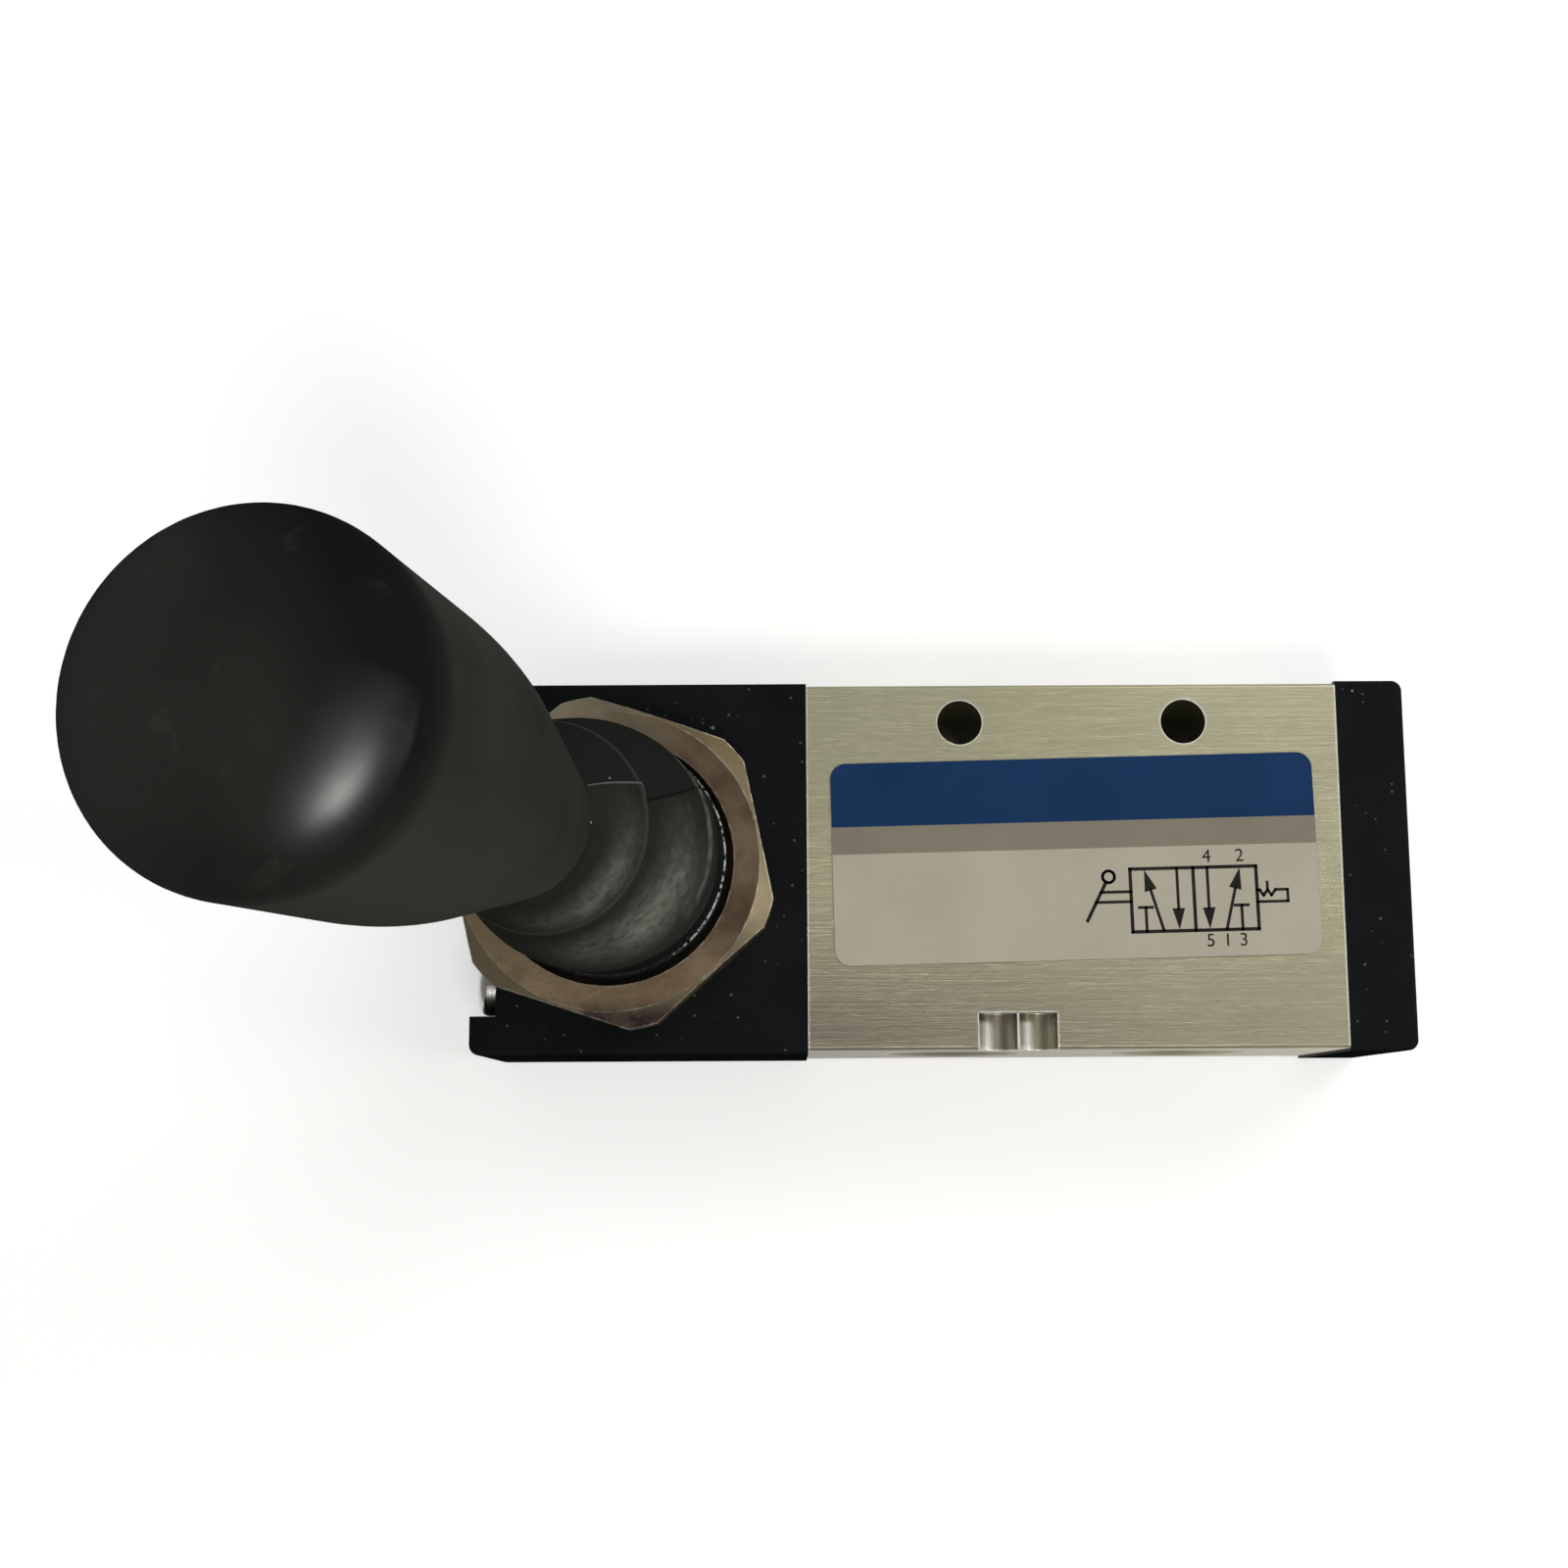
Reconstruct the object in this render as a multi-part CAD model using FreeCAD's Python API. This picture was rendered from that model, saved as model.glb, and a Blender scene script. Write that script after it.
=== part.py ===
import FreeCAD, Part
import math
import os
from FreeCAD import Vector

os.makedirs("parts", exist_ok=True)

# Frame: millimetres. The origin is the middle of the block's rear face, +X runs along the valve from
# the lever to the end cap, +Y points to the side with the supply and exhaust ports, and +Z points out
# of the label face. The lever stands up out of that face.

# Valve block, cut from aluminium bar
block_length = 51.0
block_width = 35.0
block_height = 22.0
block_edge = 0.4
spool_height = 11.0  # axis of the spool above the rear face
cut_over = 1.0  # cutters run past the surface by this much

# Two plain holes through the block, near its supply side
mount_hole_radius = 2.15
mount_hole_pitch = 21.5
mount_hole_edge = 3.7  # hole centre to the side of the block

# Pipe threads, drawn at their tapping radius. The quarter inch ones carry supply and outlets.
main_port_radius = 5.9
main_port_depth = 9.5
main_port_chamfer = 0.8
exhaust_port_radius = 4.35
exhaust_port_depth = 8.0
exhaust_port_chamfer = 0.6
outlet_pitch = 22.0
exhaust_pitch = 37.0

# Two half-round grooves side by side at the label face's outlet edge
groove_radius = 1.8
groove_pitch = 3.8
groove_length = 3.5
groove_middle = -5.7

# Spool bore and its five ring galleries, as (middle, half width)
bore_radius = 6.0
gallery_depth = 1.2
supply_gallery = (0.0, 2.9)
outlet_gallery = (8.4, 1.6)
exhaust_gallery = (16.0, 2.2)
passage_margin = 0.1  # a gallery is this much wider than the passage that feeds it
passage_overlap = 0.1  # a passage starts this far inside its port

# Spool: lands on a slim core, with round seals in grooves
spool_clearance = 0.06
spool_end_gap = 0.08  # between the spool and its stop at either end of the stroke
core_radius = 3.4
seal_section_radius = 0.8
seal_squeeze_gap = 0.05
groove_wall = 0.75
middle_seal = 1.88
outer_seal = 14.22
end_seal_inset = 1.68  # from the spool's end
middle_land_half = 3.4

# Rod between the spool and its yoke, and the yoke that the lever's ball drives
rod_radius = 3.0
rod_clearance = 0.05
stud_radius = 2.0
yoke_radius = 5.5
yoke_left = 5.0  # from the ball's middle
yoke_gap = 0.48  # between the yoke and the guide bush, with the spool at the cap
yoke_wall = 0.5  # between the stud's hole and the ball's well
yoke_well_gap = 0.5  # under the ball
yoke_edge = 0.5

# Lever, in its own upright position: heights are measured from the pivot along the lever
pivot_from_block = 18.5
pivot_above_face = 2.0
lever_tilt = 10.4  # each way from upright
hub_radius = 4.6
hub_clearance = 0.2
lever_radius = 4.0
stem_radius = 1.75
stem_straight = 6.2  # above the ball's middle
stem_cone_radius = 3.2
stem_cone_in_hub = 1.1
ball_radius = 2.9
ball_clearance = 0.05
lever_thread = 16.2  # in the knob
lever_end_chamfer = 1.0
pin_radius = 1.75
pin_clearance = 0.05
pin_inset = 0.3  # below the neck's outside
pin_chamfer = 0.3

# Knob and its threaded insert
knob_base = 30.8
knob_base_radius = 6.7
knob_base_round = 0.8
knob_cone_length = 27.0
knob_shoulder_radius = 11.3
knob_shoulder_blend = 7.0  # length of the bend on each side of the shoulder
knob_radius = 12.0
knob_length = 55.8
knob_crown_width = 7.0  # the barrel bends over into the dome across this much of the top
knob_crown_height = 3.5
knob_dome_radius = 30.0
insert_wall = 1.2
insert_length = 19.0
insert_lip = 0.3  # the knob's end stands past the insert by this much
insert_plain = 1.0  # smooth band at each end of the knurl
knurl_count = 18
knurl_depth = 0.25
knurl_width = 0.5

# Lever housing, moulded, with a threaded neck that goes through a panel
housing_length = 32.0
housing_proud = 0.25  # past the block on each side
housing_lift = 0.1  # the block touches the mounting surface first
housing_corner = 1.0
housing_edge = 0.4
recess_depth = 2.5
recess_rib = 3.65
cavity_half_width = 8.3
cavity_floor = 3.0
cavity_roof_wall = 3.0
cavity_left_wall = 2.4  # behind the recess
neck_radius = 11.0
neck_height = 9.0  # above the label face
neck_bore_radius = 8.3
neck_chamfer = 0.7
thread_start = 0.8  # above the label face
thread_pitch = 1.0
thread_depth = 0.5
thread_crest = 0.2  # flat at the top of each turn
thread_turns = 7

# Hexagon nut on the neck
nut_across_flats = 28.5
nut_thickness = 5.5
nut_turn = 11.8  # how far a flat is turned from the valve's length
nut_face_inset = 0.2  # the flat faces end this far inside the flats
nut_corner_margin = 1.45  # the corners are turned down to this far past the flats
nut_chamfer_angle = 30.0
nut_bore_chamfer = 0.6
thread_clearance = 0.05

# Guide bush in the housing, and the wire clip that gives the lever its two clicks
guide_from_side = 9.5  # bush to the side of the block
guide_length = 9.1
guide_clearance = 0.05
guide_bore_spare = 0.5  # the bore runs on past the bush
clip_from_block = 4.9
clip_wire_radius = 0.6
clip_clearance = 0.05
clip_bite = 0.5  # how deep the wire sits in the rod
clip_side_play = 0.1
clip_leg_below = 4.5
clip_crown_gap = 0.1
clip_flex_room = 0.7

# Stops, seals and screws
bumper_thickness = 1.4
bumper_ledge = 1.0  # the bumper is this much smaller than the bore
bumper_clearance = 0.05
bumper_hole_radius = 1.0
ring_bumper_gap = 0.4
face_seal_width = 1.5
face_seal_depth = 1.2
face_seal_clearance = 0.05
housing_seal_wall = 0.9
cap_seal_wall = 1.4
screw_radius = 1.5
screw_clearance = 0.05
screw_through_clearance = 0.15
screw_head_radius = 2.75
screw_head_height = 2.0
screw_head_round = 0.9
screw_point = 0.3
screw_from_side = 6.4
screw_from_face = 4.5
screw_grip = 8.0  # length of thread in the block
screw_hole_spare = 1.0
cross_length = 3.0
cross_width = 0.7
cross_depth = 1.1

# End cap
cap_length = 6.5
cap_corner = 1.0
counterbore_radius = 3.0
counterbore_depth = 2.6

# Dust boot. Its outline gives, at fractions of the way from the neck to the knob, how far its radius
# has gone from that of the foot to that of the collar. The lower tier bulges past the foot.
boot_wall = 1.3
boot_foot_inset = 0.6  # inside the neck's outside
boot_collar_radius = 6.6
boot_outline = [
    (0.0, 0.0),
    (0.04, -0.02),
    (0.12, -0.18),
    (0.24, -0.24),
    (0.38, -0.1),
    (0.52, 0.12),
    (0.66, 0.33),
    (0.72, 0.38),
    (0.8, 0.46),
    (0.88, 0.66),
    (0.94, 0.92),
    (1.0, 1.0),
]
boot_collar_share = 0.9  # the collar grips the lever from here up
boot_straighten = 1.4  # how much sooner than its top the boot turns square to the lever
boot_floor = 1.0
boot_gap = 0.2  # between the boot's top and the knob
boot_rod_gap = 0.3
boot_plug_depth = 1.4
boot_plug_wall = 1.2
boot_plug_gap = 0.1

# Label
label_length = 46.2
label_width = 19.4
label_offset = 0.6
label_corner = 1.5
label_turn = 1.2  # stuck on slightly askew
label_thickness = 0.15

# Sizes that follow from the ones above
half_length = block_length / 2
half_width = block_width / 2
land_radius = bore_radius - spool_clearance
gallery_radius = bore_radius + gallery_depth
pivot_x = -half_length - pivot_from_block
pivot_height = block_height + pivot_above_face
lever_arm = pivot_height - spool_height
half_stroke = lever_arm * math.sin(math.radians(lever_tilt))
spool_x = half_stroke  # the lever is stored leaning away from the block, so the spool is at the cap
spool_half_length = half_length - half_stroke - spool_end_gap
end_seal = spool_half_length - end_seal_inset
ball_x = pivot_x + half_stroke
guide_left = -half_length - guide_length
guide_radius = half_width - guide_from_side
yoke_right = guide_left - yoke_gap
stud_end = ball_x + ball_radius + ball_clearance + yoke_wall
housing_left = -half_length - housing_length
housing_side = half_width + housing_proud
recess_floor = housing_left + recess_depth
cavity_roof = block_height - cavity_roof_wall
neck_top = block_height + neck_height
hub_half_width = math.sqrt(neck_bore_radius ** 2 - hub_radius ** 2) - hub_clearance
pin_half_length = neck_radius - pin_inset
lever_top = knob_base + lever_thread
insert_radius = lever_radius + insert_wall
cap_right = half_length + cap_length
clip_x = -half_length - clip_from_block
clip_radius = rod_radius - clip_bite + clip_wire_radius
bumper_radius = bore_radius - bumper_ledge
bumper_pocket_radius = bumper_radius + bumper_clearance
bumper_depth = half_length + bumper_thickness
screw_hole_radius = screw_radius + screw_through_clearance
housing_seal_inner = guide_radius + housing_seal_wall
cap_seal_inner = bore_radius + cap_seal_wall
boot_foot_radius = neck_radius - boot_foot_inset
boot_top = knob_base - boot_gap
x_axis = Vector(1, 0, 0)
y_axis = Vector(0, 1, 0)
z_axis = Vector(0, 0, 1)


def save(shape, name):
    """Write one piece, or one group of like pieces, to its own file."""
    shape.exportStep(os.path.join("parts", name + ".step"))


def box(x_span, y_span, z_span):
    size = [high - low for low, high in (x_span, y_span, z_span)]
    return Part.makeBox(*size, Vector(x_span[0], y_span[0], z_span[0]))


def rod_x(radius, left, right, y=0.0, z=spool_height):
    """Round bar along X."""
    return Part.makeCylinder(radius, right - left, Vector(left, y, z), x_axis)


def ring_x(outer, inner, left, right):
    """Ring around the spool axis."""
    return rod_x(outer, left, right).cut(rod_x(inner, left - cut_over, right + cut_over))


def turned(edges):
    """Solid turned about +Z from a closed outline of (radius, height) edges."""
    face = Part.Face(Part.Wire(edges))
    return face.revolve(Vector(0, 0, 0), z_axis, 360)


def lines(points):
    """Straight outline edges through (radius, height) points."""
    spots = [Vector(radius, 0, height) for radius, height in points]
    return [Part.makeLine(a, b) for a, b in zip(spots, spots[1:])]


def bent(start, corner, end):
    """Smooth outline edge that rounds off a corner between two straight runs."""
    curve = Part.BezierCurve()
    curve.setPoles([start, corner, end])
    return curve.toShape()


def edges_along(shape, axis, test):
    """Straight edges of a shape that run along an axis and whose middle passes a test."""
    found = []
    for edge in shape.Edges:
        if len(edge.Vertexes) < 2:
            continue
        start, end = (v.Point for v in edge.Vertexes[:2])
        run = end.sub(start)
        if run.cross(axis).Length < 1e-6 and test((start + end) * 0.5):
            found.append(edge)
    return found


def rims(shape, test=lambda p: True):
    """Full circle edges of a shape whose middle passes a test."""
    return [edge for edge in shape.Edges if len(edge.Vertexes) == 1 and test(edge.CenterOfMass)]


def leaned(shape):
    """Carry a piece from the lever's own upright frame to its stored place."""
    shape.rotate(Vector(0, 0, 0), y_axis, -lever_tilt)
    shape.translate(Vector(pivot_x, 0, pivot_height))
    return shape


def screw_places():
    """The four corners where screws go into each end of the block."""
    side = half_width - screw_from_side
    return [(y, z) for y in (-side, side) for z in (screw_from_face, block_height - screw_from_face)]


def port(x, side, radius, depth, chamfer):
    """Cutter for a threaded port in the block's side, with its entry chamfer."""
    mouth = Vector(x, side * half_width, spool_height)
    inward = Vector(0, -side, 0)
    hole = Part.makeCylinder(radius, depth, mouth, inward)
    return hole.fuse(Part.makeCone(radius + chamfer, radius, chamfer, mouth, inward))


def passage(gallery_x, half, side, depth):
    """Cutter for the drilling from the floor of a port into its gallery."""
    start = Vector(gallery_x, side * (half_width - depth + passage_overlap), spool_height)
    reach = half_width - depth - core_radius
    return Part.makeCylinder(half - passage_margin, reach, start, Vector(0, -side, 0))


def make_valve_body():
    body = box((-half_length, half_length), (-half_width, half_width), (0, block_height))
    body = body.makeFillet(block_edge, edges_along(body, x_axis, lambda p: True))
    cutters = [rod_x(bore_radius, -half_length - cut_over, half_length + cut_over)]
    middle, half = supply_gallery
    cutters.append(rod_x(gallery_radius, middle - half, middle + half))
    cutters.append(port(middle, 1, main_port_radius, main_port_depth, main_port_chamfer))
    cutters.append(passage(middle, half, 1, main_port_depth))
    for end in (-1, 1):
        middle, half = outlet_gallery
        cutters.append(rod_x(gallery_radius, end * middle - half, end * middle + half))
        cutters.append(port(end * outlet_pitch / 2, -1, main_port_radius, main_port_depth, main_port_chamfer))
        cutters.append(passage(end * middle, half, -1, main_port_depth))
        middle, half = exhaust_gallery
        cutters.append(rod_x(gallery_radius, end * middle - half, end * middle + half))
        exhaust_x = end * exhaust_pitch / 2
        cutters.append(port(exhaust_x, 1, exhaust_port_radius, exhaust_port_depth, exhaust_port_chamfer))
        cutters.append(passage(end * middle, half, 1, exhaust_port_depth))
        hole_at = Vector(end * mount_hole_pitch / 2, half_width - mount_hole_edge, -cut_over)
        cutters.append(Part.makeCylinder(mount_hole_radius, block_height + 2 * cut_over, hole_at))
        groove_at = Vector(groove_middle + end * groove_pitch / 2, -half_width - cut_over, block_height)
        cutters.append(Part.makeCylinder(groove_radius, groove_length + cut_over, groove_at, y_axis))
        depth = screw_grip + screw_hole_spare
        span = sorted((end * (half_length + cut_over), end * (half_length - depth)))
        for y, z in screw_places():
            cutters.append(rod_x(screw_radius + screw_clearance, span[0], span[1], y, z))
    return body.cut(cutters)


def seal_spots():
    return [side * place for place in (middle_seal, outer_seal, end_seal) for side in (-1, 1)]


def make_spool():
    """Core, lands and rod in one turned piece, with seal grooves and the two clip grooves."""
    spool = rod_x(core_radius, spool_x - spool_half_length, spool_x + spool_half_length)
    groove_half = seal_section_radius + seal_squeeze_gap
    land_half = groove_half + groove_wall
    lands = [(-middle_land_half, middle_land_half)]
    for side in (-1, 1):
        lands.append((side * outer_seal - land_half, side * outer_seal + land_half))
        lands.append(tuple(sorted((side * (end_seal - land_half), side * spool_half_length))))
    for left, right in lands:
        spool = spool.fuse(rod_x(land_radius, spool_x + left, spool_x + right))
    spool = spool.fuse(rod_x(rod_radius, yoke_right, spool_x - spool_half_length))
    spool = spool.fuse(rod_x(stud_radius, stud_end, yoke_right))
    floor = bore_radius - 2 * seal_section_radius - 2 * seal_squeeze_gap
    for place in seal_spots():
        middle = spool_x + place
        spool = spool.cut(ring_x(bore_radius + cut_over, floor, middle - groove_half, middle + groove_half))
    for x in (clip_x, clip_x + 2 * half_stroke):
        middle = Vector(x, 0, spool_height)
        spool = spool.cut(Part.makeTorus(clip_radius, clip_wire_radius + clip_clearance, middle, x_axis))
    return spool.removeSplitter()


def make_spool_seals():
    ring_radius = bore_radius - seal_squeeze_gap - seal_section_radius
    middles = [Vector(spool_x + place, 0, spool_height) for place in seal_spots()]
    return Part.makeCompound([Part.makeTorus(ring_radius, seal_section_radius, m, x_axis) for m in middles])


def make_spool_yoke():
    """Short drum on the rod's end, with a well from above for the lever's ball."""
    yoke = rod_x(yoke_radius, ball_x - yoke_left, yoke_right)
    yoke = yoke.makeChamfer(yoke_edge, rims(yoke))
    floor = spool_height - ball_radius - yoke_well_gap
    well = Part.makeCylinder(ball_radius + ball_clearance, 2 * yoke_radius, Vector(ball_x, 0, floor))
    stud_hole = rod_x(stud_radius + rod_clearance, stud_end - rod_clearance, yoke_right + cut_over)
    return yoke.cut([well, stud_hole])


def make_neck():
    """Neck with the panel thread cut into it as V grooves, from inside the roof to its chamfered top."""
    low = block_height + thread_start
    outline = [(0, cavity_roof), (neck_radius, cavity_roof), (neck_radius, low)]
    for k in range(thread_turns):
        crest_low = low + (k + 1) * thread_pitch - thread_crest
        root = (low + k * thread_pitch + crest_low) / 2
        outline.append((neck_radius - thread_depth, root))
        outline.append((neck_radius, crest_low))
        outline.append((neck_radius, crest_low + thread_crest))
    outline.append((neck_radius, neck_top - neck_chamfer))
    outline.append((neck_radius - neck_chamfer, neck_top))
    outline.append((0, neck_top))
    outline.append((0, cavity_roof))
    neck = turned(lines(outline))
    neck.translate(Vector(pivot_x, 0, 0))
    return neck


def make_lever_housing():
    body = box((housing_left, -half_length), (-housing_side, housing_side), (housing_lift, block_height))
    body = body.makeFillet(housing_corner, edges_along(body, z_axis, lambda p: p.x < -half_length - 1))
    body = body.makeFillet(housing_edge, edges_along(body, x_axis, lambda p: True))
    recess_side = housing_side - recess_rib
    recess_z = (-cut_over, block_height + cut_over)
    recess = box((housing_left - cut_over, recess_floor), (-recess_side, recess_side), recess_z)
    body = body.cut(recess)
    body = body.fuse(make_neck()).removeSplitter()
    cavity_left = recess_floor + cavity_left_wall
    pin_at = Vector(pivot_x, -neck_radius - cut_over, pivot_height)
    bore_at = Vector(pivot_x, 0, cavity_roof - cut_over)
    seal_outer = housing_seal_inner + face_seal_width
    cutters = [
        box((cavity_left, guide_left), (-cavity_half_width, cavity_half_width), (cavity_floor, cavity_roof)),
        rod_x(guide_radius + guide_clearance, guide_left - guide_bore_spare, -half_length + cut_over),
        Part.makeCylinder(neck_bore_radius, neck_top - cavity_roof + 2 * cut_over, bore_at),
        Part.makeCylinder(pin_radius + pin_clearance, 2 * (neck_radius + cut_over), pin_at, y_axis),
        ring_x(seal_outer, housing_seal_inner, -half_length - face_seal_depth, -half_length + cut_over),
    ]
    for y, z in screw_places():
        cutters.append(rod_x(screw_hole_radius, recess_floor - cut_over, -half_length + cut_over, y, z))
    return body.cut(cutters)


def make_guide_bush():
    """Plain bush for the rod, slotted from above for the wire clip, with a pocket for the ring bumper."""
    bush = rod_x(guide_radius, guide_left, -half_length)
    bush = bush.cut(rod_x(rod_radius + rod_clearance, guide_left - cut_over, -half_length + cut_over))
    bush = bush.cut(rod_x(bumper_pocket_radius, -bumper_depth, -half_length + cut_over))
    reach = clip_radius + clip_wire_radius + clip_flex_room
    slot_half = clip_wire_radius + clip_side_play
    slot = box(
        (clip_x - slot_half, clip_x + slot_half),
        (-reach, reach),
        (spool_height - clip_leg_below - clip_clearance, spool_height + guide_radius + cut_over),
    )
    return bush.cut(slot)


def make_detent_spring():
    """Hairpin of round wire that straddles the rod and snaps into its two grooves."""
    low = spool_height - clip_leg_below
    high = spool_height + guide_radius - clip_crown_gap - clip_wire_radius - clip_radius
    crown_top = Vector(clip_x, 0, high + clip_radius)
    left_foot = Vector(clip_x, -clip_radius, low)
    left_head = Vector(clip_x, -clip_radius, high)
    right_head = Vector(clip_x, clip_radius, high)
    right_foot = Vector(clip_x, clip_radius, low)
    crown = Part.Arc(left_head, crown_top, right_head).toShape()
    path = Part.Wire([Part.makeLine(left_foot, left_head), crown, Part.makeLine(right_head, right_foot)])
    section = Part.Wire([Part.makeCircle(clip_wire_radius, left_foot, z_axis)])
    return path.makePipeShell([section], True, False)


def make_bumper():
    """Rubber disc in the cap that the spool lands on."""
    disc = rod_x(bumper_radius, half_length, bumper_depth)
    return disc.cut(rod_x(bumper_hole_radius, half_length - cut_over, bumper_depth + cut_over))


def make_ring_bumper():
    """Rubber ring around the rod that stops the spool at the lever end."""
    return ring_x(bumper_radius, rod_radius + ring_bumper_gap, -bumper_depth, -half_length)


def make_face_seal(end, inner):
    """Flat ring in the groove of a housing or cap face, against the block."""
    left, right = sorted((end * half_length, end * (half_length + face_seal_depth - face_seal_clearance)))
    return ring_x(inner + face_seal_width - face_seal_clearance, inner + face_seal_clearance, left, right)


def make_screw(length):
    """Pan head screw with a cross recess, along +X from under its head at the origin."""
    shank = Part.makeCylinder(screw_radius, length, Vector(0, 0, 0), x_axis)
    shank = shank.makeChamfer(screw_point, rims(shank, lambda p: p.x > length / 2))
    head = Part.makeCylinder(screw_head_radius, screw_head_height, Vector(-screw_head_height, 0, 0), x_axis)
    head = head.makeFillet(screw_head_round, rims(head, lambda p: p.x < -screw_head_height / 2))
    span = (-screw_head_height - cut_over, -screw_head_height + cross_depth)
    arm = (-cross_length / 2, cross_length / 2)
    thin = (-cross_width / 2, cross_width / 2)
    return head.fuse(shank).cut([box(span, arm, thin), box(span, thin, arm)]).removeSplitter()


def make_screws(seat, end):
    """Four screws whose heads seat at X = seat and whose points lie in the block."""
    length = abs(seat - end * (half_length - screw_grip))
    screws = []
    for y, z in screw_places():
        screw = make_screw(length)
        if end > 0:
            screw.rotate(Vector(0, 0, 0), z_axis, 180)
        screw.translate(Vector(seat, y, z))
        screws.append(screw)
    return Part.makeCompound(screws)


def make_end_cap():
    cap = box((half_length, cap_right), (-housing_side, housing_side), (housing_lift, block_height))
    cap = cap.makeFillet(cap_corner, edges_along(cap, z_axis, lambda p: p.x > half_length + 1))
    cap = cap.makeFillet(housing_edge, edges_along(cap, x_axis, lambda p: True))
    seal_outer = cap_seal_inner + face_seal_width
    cutters = [
        rod_x(bumper_pocket_radius, half_length - cut_over, bumper_depth),
        ring_x(seal_outer, cap_seal_inner, half_length - cut_over, half_length + face_seal_depth),
    ]
    for y, z in screw_places():
        cutters.append(rod_x(screw_hole_radius, half_length - cut_over, cap_right + cut_over, y, z))
        cutters.append(rod_x(counterbore_radius, cap_right - counterbore_depth, cap_right + cut_over, y, z))
    return cap.cut(cutters)


def make_panel_nut():
    """Hexagon nut with its corners turned off at both faces."""
    corner = nut_across_flats / math.sqrt(3)
    angles = [math.radians(nut_turn + 30 + 60 * k) for k in range(6)]
    spots = [Vector(corner * math.cos(a), corner * math.sin(a), 0) for a in angles]
    hexagon = Part.Face(Part.makePolygon(spots + spots[:1])).extrude(Vector(0, 0, nut_thickness))
    face_radius = nut_across_flats / 2 - nut_face_inset
    corner_radius = nut_across_flats / 2 + nut_corner_margin
    drop = (corner_radius - face_radius) * math.tan(math.radians(nut_chamfer_angle))
    outline = [
        (0, 0),
        (face_radius, 0),
        (corner_radius, drop),
        (corner_radius, nut_thickness - drop),
        (face_radius, nut_thickness),
        (0, nut_thickness),
        (0, 0),
    ]
    nut = hexagon.common(turned(lines(outline)))
    bore = neck_radius + thread_clearance
    wide = bore + nut_bore_chamfer
    nut = nut.cut(Part.makeCylinder(bore, nut_thickness + 2 * cut_over, Vector(0, 0, -cut_over)))
    nut = nut.cut(Part.makeCone(wide, bore, nut_bore_chamfer))
    nut = nut.cut(Part.makeCone(bore, wide, nut_bore_chamfer, Vector(0, 0, nut_thickness - nut_bore_chamfer)))
    nut.translate(Vector(pivot_x, 0, block_height))
    return nut


def make_pivot_pin():
    start = Vector(pivot_x, -pin_half_length, pivot_height)
    pin = Part.makeCylinder(pin_radius, 2 * pin_half_length, start, y_axis)
    return pin.makeChamfer(pin_chamfer, rims(pin))


def make_lever_rod():
    """Lever with its hub across the pivot pin, and below it the ball that drives the yoke."""
    outline = [
        (0, -lever_arm),
        (stem_radius, -lever_arm),
        (stem_radius, stem_straight - lever_arm),
        (stem_cone_radius, stem_cone_in_hub - hub_radius),
        (stem_cone_radius, 0),
        (lever_radius, 0),
        (lever_radius, lever_top - lever_end_chamfer),
        (lever_radius - lever_end_chamfer, lever_top),
        (0, lever_top),
        (0, -lever_arm),
    ]
    lever = turned(lines(outline))
    lever = lever.fuse(Part.makeSphere(ball_radius, Vector(0, 0, -lever_arm)))
    hub = Part.makeCylinder(hub_radius, 2 * hub_half_width, Vector(0, -hub_half_width, 0), y_axis)
    lever = lever.fuse(hub).removeSplitter()
    start = Vector(0, -hub_half_width - cut_over, 0)
    hole = Part.makeCylinder(pin_radius + pin_clearance, 2 * (hub_half_width + cut_over), start, y_axis)
    return leaned(lever.cut(hole))


def make_knob():
    """Long grip: a cone that widens into a slightly tapered barrel, bent over at its top into a low dome."""
    top = knob_base + knob_length
    cone_top = knob_base + knob_cone_length
    base_low = Vector(knob_base_radius - knob_base_round, 0, knob_base)
    base_high = Vector(knob_base_radius, 0, knob_base + knob_base_round)
    slant = knob_base_round * (1 - math.sqrt(0.5))
    base_mid = Vector(knob_base_radius - slant, 0, knob_base + slant)
    shoulder = Vector(knob_shoulder_radius, 0, cone_top)
    lean = math.asin((knob_radius - knob_crown_width) / knob_dome_radius)
    dome_centre = top - knob_dome_radius
    crown_x = knob_dome_radius * math.sin(lean)
    crown_high = Vector(crown_x, 0, dome_centre + knob_dome_radius * math.cos(lean))
    corner = Vector(knob_radius, 0, crown_high.z - knob_crown_width * math.tan(lean))
    crown_low = corner + (shoulder - corner).normalize() * knob_crown_height
    dome_mid_x = knob_dome_radius * math.sin(lean / 2)
    dome_mid = Vector(dome_mid_x, 0, dome_centre + knob_dome_radius * math.cos(lean / 2))
    peak = Vector(0, 0, top)
    bend_low = shoulder + (base_high - shoulder).normalize() * knob_shoulder_blend
    bend_high = shoulder + (corner - shoulder).normalize() * knob_shoulder_blend
    edges = [
        Part.makeLine(Vector(0, 0, knob_base), base_low),
        Part.Arc(base_low, base_mid, base_high).toShape(),
        Part.makeLine(base_high, bend_low),
        bent(bend_low, shoulder, bend_high),
        Part.makeLine(bend_high, crown_low),
        bent(crown_low, corner, crown_high),
        Part.Arc(crown_high, dome_mid, peak).toShape(),
        Part.makeLine(peak, Vector(0, 0, knob_base)),
    ]
    knob = turned(edges)
    hole = Part.makeCylinder(insert_radius, insert_lip + insert_length, Vector(0, 0, knob_base))
    return leaned(knob.cut(hole))


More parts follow.
